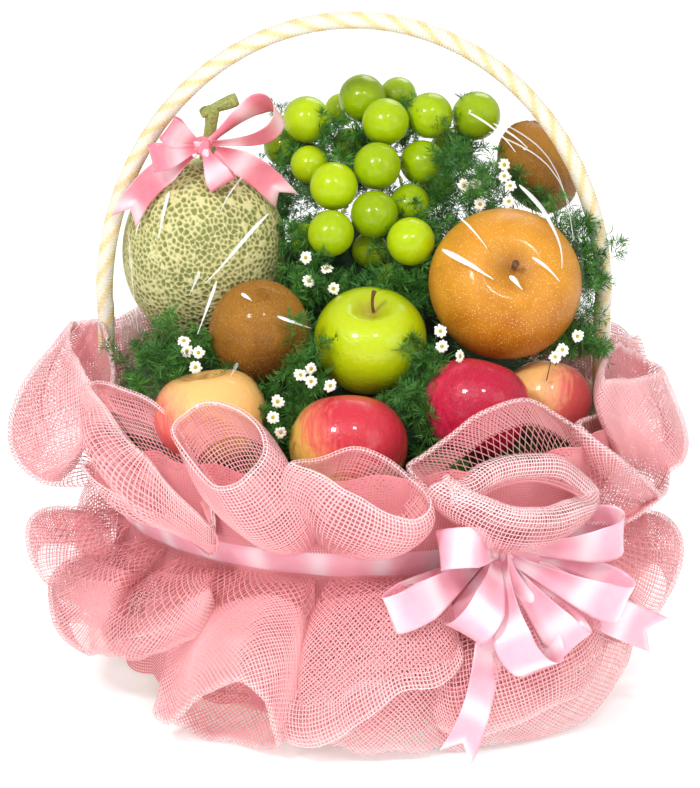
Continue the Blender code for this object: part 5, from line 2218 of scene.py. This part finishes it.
COLLAR = Ruffle(
    "net_collar",
    "net_collar",
    Side.COLLAR,
    (
        Petal((
            (176, 196, 250), (188, 200, 249), (200, 199, 240), (209, 193, 228), (204, 178, 236),
            (192, 172, 248), (180, 176, 254),
        ), 186, root_half=0.030, bloom=0.9, swell=1.6, fold_back=0.75, weave=Weave.BIAS),
        Petal((
            (211, 210, 239), (211, 193, 240), (218, 182, 235), (226, 179, 226), (233, 181, 209),
            (239, 187, 182), (241, 191, 158), (239, 201, 169), (235, 212, 190), (227, 217, 216),
            (219, 215, 234),
        ), 236, root_half=0.008, bloom=0.5, swell=1.9, drape=-0.15),
        Petal((
            (212, 218, 185), (215, 213, 194), (219, 209, 194), (223, 204, 184), (228, 200, 171),
            (233, 196, 161), (229, 207, 164), (223, 215, 172), (218, 220, 178),
        ), 235, root_half=0.006, bloom=0.4, swell=1.0, drape=-0.1),
        Petal((
            (234, 207, 226), (239, 214, 211), (243, 218, 200), (246, 219, 195), (250, 217, 200),
            (253, 213, 214), (254, 206, 225), (252, 196, 234), (247, 188, 242), (240, 184, 244),
            (234, 190, 236),
        ), 257, root_half=0.010, bloom=0.65, swell=0.6, drape=0.02),
        Petal((
            (258, 206, 214), (265, 214, 208), (269, 217, 198), (274, 220, 188), (278, 220, 181),
            (281, 218, 179), (284, 211, 184), (283, 200, 197), (278, 191, 211), (273, 186, 219),
            (268, 186, 220), (262, 194, 215),
        ), 266, root_half=0.012, bloom=0.6, swell=0.7, drape=0.02),
        Petal((
            (281, 191, 204), (285, 184, 214), (292, 178, 225), (299, 175, 235), (311, 175, 238),
            (321, 183, 219), (325, 196, 205), (330, 211, 186), (336, 219, 166), (343, 222, 144),
            (334, 208, 135), (321, 196, 145), (305, 194, 155), (291, 193, 172),
        ), 322, root_half=0.040, bloom=0.4, swell=0.2, weave=Weave.BIAS),
        Petal((
            (284, 209, 200), (290, 193, 195), (297, 187, 204), (308, 185, 204), (320, 187, 188),
            (327, 194, 166), (325, 203, 157), (316, 214, 161), (308, 220, 165), (301, 222, 169),
            (295, 221, 177), (289, 216, 190),
        ), 302, root_half=0.016, drape=0.3, roll=0.009),
        Petal((
            (332, 191, 236), (340, 205, 233), (350, 214, 226), (360, 219, 216), (368, 214, 214),
            (366, 196, 226), (356, 184, 240), (344, 180, 244),
        ), 352, root_half=0.030, bloom=0.9, swell=1.1, fold_back=0.75, weave=Weave.BIAS),
        Petal((
            (324, 187, 212), (334, 184, 211), (345, 190, 199), (353, 202, 181), (356, 217, 160),
            (354, 223, 142), (346, 220, 142), (335, 217, 168), (326, 211, 192),
        ), 342, root_half=0.014, swell=0.2, weave=Weave.BIAS),
    ),
    (
        Petal(oval(28, 0.226, 0.048, 0.026, 18), 32, bloom=0.8, swell=0.8),
        Petal(oval(60, 0.222, 0.046, 0.026, 24), 56, bloom=0.8, swell=0.8, weave=Weave.BIAS),
        Petal(oval(91, 0.228, 0.048, 0.026, 16), 95, bloom=0.8, swell=0.8),
        Petal(oval(121, 0.222, 0.046, 0.026, 26), 126, bloom=0.8, swell=0.8, weave=Weave.BIAS),
        Petal(oval(151, 0.226, 0.048, 0.026, 18), 147, bloom=0.8, swell=0.8),
    ),
    Lining(Side.COLLAR, 0.191, 0.058, 25, 2),
)
SKIRT = Ruffle(
    "net_skirt",
    "net_skirt",
    Side.SKIRT,
    (
        Petal((
            (172, 205, 80), (182, 222, 90), (190, 226, 88), (198, 218, 76), (206, 203, 72),
            (200, 184, 70), (186, 182, 72),
        ), 192, root_half=0.022, swell=0.9, fold_back=0.75, weave=Weave.BIAS),
        Petal((
            (194, 206, 50), (199, 207, 41), (208, 206, 41), (215, 202, 48), (213, 184, 50),
            (199, 180, 44),
        ), 214, root_half=0.016, bloom=0.8, swell=1.5, fold_back=0.75, weave=Weave.BIAS),
        Petal((
            (217, 206, 60), (225, 209, 58), (231, 208, 66), (236, 205, 76), (240, 200, 89),
            (241, 190, 95), (233, 179, 82), (219, 181, 64),
        ), 231, root_half=0.018, bloom=0.8, swell=1.2, weave=Weave.BIAS),
        Petal((
            (229, 209, 23), (233, 214, 22), (237, 216, 31), (242, 217, 49), (248, 217, 63),
            (251, 216, 62), (254, 214, 50), (255, 209, 31), (256, 201, 14), (252, 191, 5),
            (248, 185, 2), (241, 182, 2), (235, 184, 4), (230, 193, 10),
        ), 250, root_half=0.036, bloom=0.7, swell=0.3, weave=Weave.BIAS),
        Petal((
            (256, 197, 16), (260, 204, 15), (264, 209, 18), (268, 211, 25), (271, 213, 38),
            (275, 215, 50), (279, 216, 59), (285, 215, 60), (289, 211, 68), (291, 204, 79),
            (290, 191, 54), (286, 185, 37), (279, 181, 28), (273, 178, 22), (266, 178, 14),
            (260, 183, 11),
        ), 278, root_half=0.026, swell=0.15),
        Petal((
            (259, 191, 16), (266, 195, 13), (271, 196, 9), (276, 197, 8), (283, 195, 7),
            (289, 189, 10), (290, 173, 16), (281, 167, 12), (269, 166, 13), (260, 175, 17),
        ), 276, root_half=0.034, swell=0.2, weave=Weave.BIAS),
        Petal((
            (286, 199, 25), (292, 209, 18), (297, 213, 21), (303, 215, 25), (310, 216, 30),
            (316, 215, 35), (322, 212, 44), (329, 203, 54), (332, 183, 44), (322, 173, 24),
            (307, 173, 20), (292, 183, 25),
        ), 304, root_half=0.036, bloom=0.30, swell=0.6, drape=-0.1),
        Petal((
            (288, 187, 6), (298, 194, 3), (305, 198, 3), (312, 201, 3), (318, 205, 6),
            (324, 209, 14), (329, 212, 25), (333, 213, 38), (338, 204, 48), (340, 177, 30),
            (323, 165, 10), (302, 167, 8),
        ), 314, root_half=0.042, bloom=0.30, swell=0.5, drape=-0.1, weave=Weave.BIAS),
        Petal((
            (333, 206, 50), (339, 215, 54), (345, 222, 62), (352, 224, 70), (362, 215, 72),
            (358, 190, 62), (346, 182, 50), (336, 190, 46),
        ), 346, root_half=0.024, bloom=0.8, swell=1.0, fold_back=0.75, weave=Weave.BIAS),
    ),
    (
        Petal(oval(18, 0.058, 0.05, 0.024, -20), 21, root_half=0.03, swell=0.4, weave=Weave.BIAS),
        Petal(oval(44, 0.04, 0.05, 0.024, -22), 41, root_half=0.03, swell=0.4),
        Petal(oval(70, 0.048, 0.05, 0.024, -18), 74, root_half=0.03, swell=0.4, weave=Weave.BIAS),
        Petal(oval(97, 0.036, 0.052, 0.024, -22), 100, root_half=0.03, swell=0.4),
        Petal(oval(124, 0.046, 0.05, 0.024, -20), 121, root_half=0.03, swell=0.4, weave=Weave.BIAS),
        Petal(oval(150, 0.05, 0.05, 0.024, -22), 153, root_half=0.03, swell=0.4),
    ),
    Lining(Side.SKIRT, 0.172, 0.100, 25, 5),
)

FERN = Fern(
    (
        Tuft((-0.128, -0.058, 0.236), (-0.2, -0.7, 0.9), 24, 0.044, 0.40),
        Tuft((-0.100, -0.070, 0.240), (0.1, -0.7, 0.8), 14, 0.036),
        Tuft((-0.042, 0.010, 0.300), (0.0, -0.7, 0.7), 16, 0.040),
        Tuft((-0.004, 0.052, 0.362), (0.0, -0.3, 1.0), 18, 0.036),
        Tuft((0.034, 0.066, 0.360), (0.1, -0.2, 1.0), 16, 0.038),
        Tuft((-0.040, 0.060, 0.350), (-0.1, -0.2, 1.0), 14, 0.036),
        Tuft((0.066, 0.062, 0.352), (0.2, -0.2, 1.0), 14, 0.038),
        Tuft((-0.024, -0.016, 0.280), (-0.2, -0.8, 0.6), 16, 0.036),
        Tuft((0.030, -0.016, 0.284), (0.2, -0.8, 0.6), 16, 0.036),
        Tuft((0.052, 0.000, 0.300), (0.2, -0.6, 0.8), 14, 0.036),
        Tuft((0.078, 0.030, 0.326), (0.1, -0.5, 1.0), 20, 0.044),
        Tuft((0.104, 0.036, 0.328), (0.0, -0.5, 1.0), 9, 0.034),
        Tuft((0.150, 0.000, 0.298), (0.12, -0.5, 1.1), 14, 0.044, 0.24),
        Tuft((0.146, -0.008, 0.282), (0.5, -0.6, 1.0), 20, 0.040, 0.32),
        Tuft((0.148, -0.030, 0.244), (0.45, -0.8, 0.7), 20, 0.036, 0.32),
        Tuft((0.044, -0.074, 0.240), (0.2, -1.0, 0.6), 16, 0.036),
        Tuft((0.034, -0.090, 0.214), (0.1, -1.0, 0.4), 16, 0.036),
        Tuft((-0.046, -0.098, 0.220), (-0.2, -1.0, 0.4), 16, 0.032),
        Tuft((-0.034, -0.084, 0.240), (0.0, -0.9, 0.6), 10, 0.030),
    )
)
DAISIES = Daisies(
    (
        (-0.033, -0.034, 0.308), (-0.019, -0.034, 0.300), (-0.031, -0.044, 0.294),
        (-0.014, -0.048, 0.290), (0.058, -0.094, 0.273), (0.059, -0.100, 0.264),
        (0.071, -0.106, 0.259), (-0.029, -0.115, 0.253), (-0.036, -0.120, 0.250),
        (-0.029, -0.125, 0.247), (-0.016, -0.125, 0.244), (-0.051, -0.135, 0.236),
        (-0.054, -0.142, 0.227), (-0.049, -0.146, 0.218), (-0.113, -0.094, 0.259),
        (-0.105, -0.098, 0.259), (-0.107, -0.102, 0.250), (-0.115, -0.090, 0.265),
        (0.076, 0.010, 0.348), (0.084, 0.010, 0.349), (0.104, 0.016, 0.361), (0.104, 0.012, 0.354),
        (0.108, 0.008, 0.348), (0.087, 0.000, 0.337), (0.107, 0.000, 0.339), (0.152, -0.072, 0.263),
        (0.141, -0.084, 0.257), (0.136, -0.088, 0.253),
    )
)


def main() -> None:
    """Builds every piece from the inside out."""
    logging.basicConfig(level=logging.INFO, format="%(name)s %(message)s")
    basket = Basket()
    basket.build()
    Handle().build(basket)
    FERN.build(basket)
    DAISIES.build(basket)
    Melon().build()
    MelonStem().build()
    for fruit in FRUIT:
        fruit.build()
    for kiwi in KIWIS:
        kiwi.build()
    for stem in STEMS:
        stem.build()
    GrapeBunch().build()
    COLLAR.build(basket)
    SKIRT.build(basket)
    WaistRibbon().build(basket, PINK_SATIN)
    WAIST_BOW.build()
    MELON_BOW.build()
    grapes = tuple(
        Fruit(f"grape_{number:02d}", Body(GRAPE_RADIUS, GRAPE_RADIUS, (0.0, 0.0, 1.0)), PEAR_SKIN, 1)
        for number in range(1, 23)
    )
    kiwis = tuple(Fruit(k.node, Body(k.across, k.along, k.axis), PEAR_SKIN, 1) for k in KIWIS)
    Film((MELON_BODY, *FRUIT, *kiwis, *grapes), CREASES).build(basket)
    Studio().build(basket)


if __name__ == "__main__":
    main()
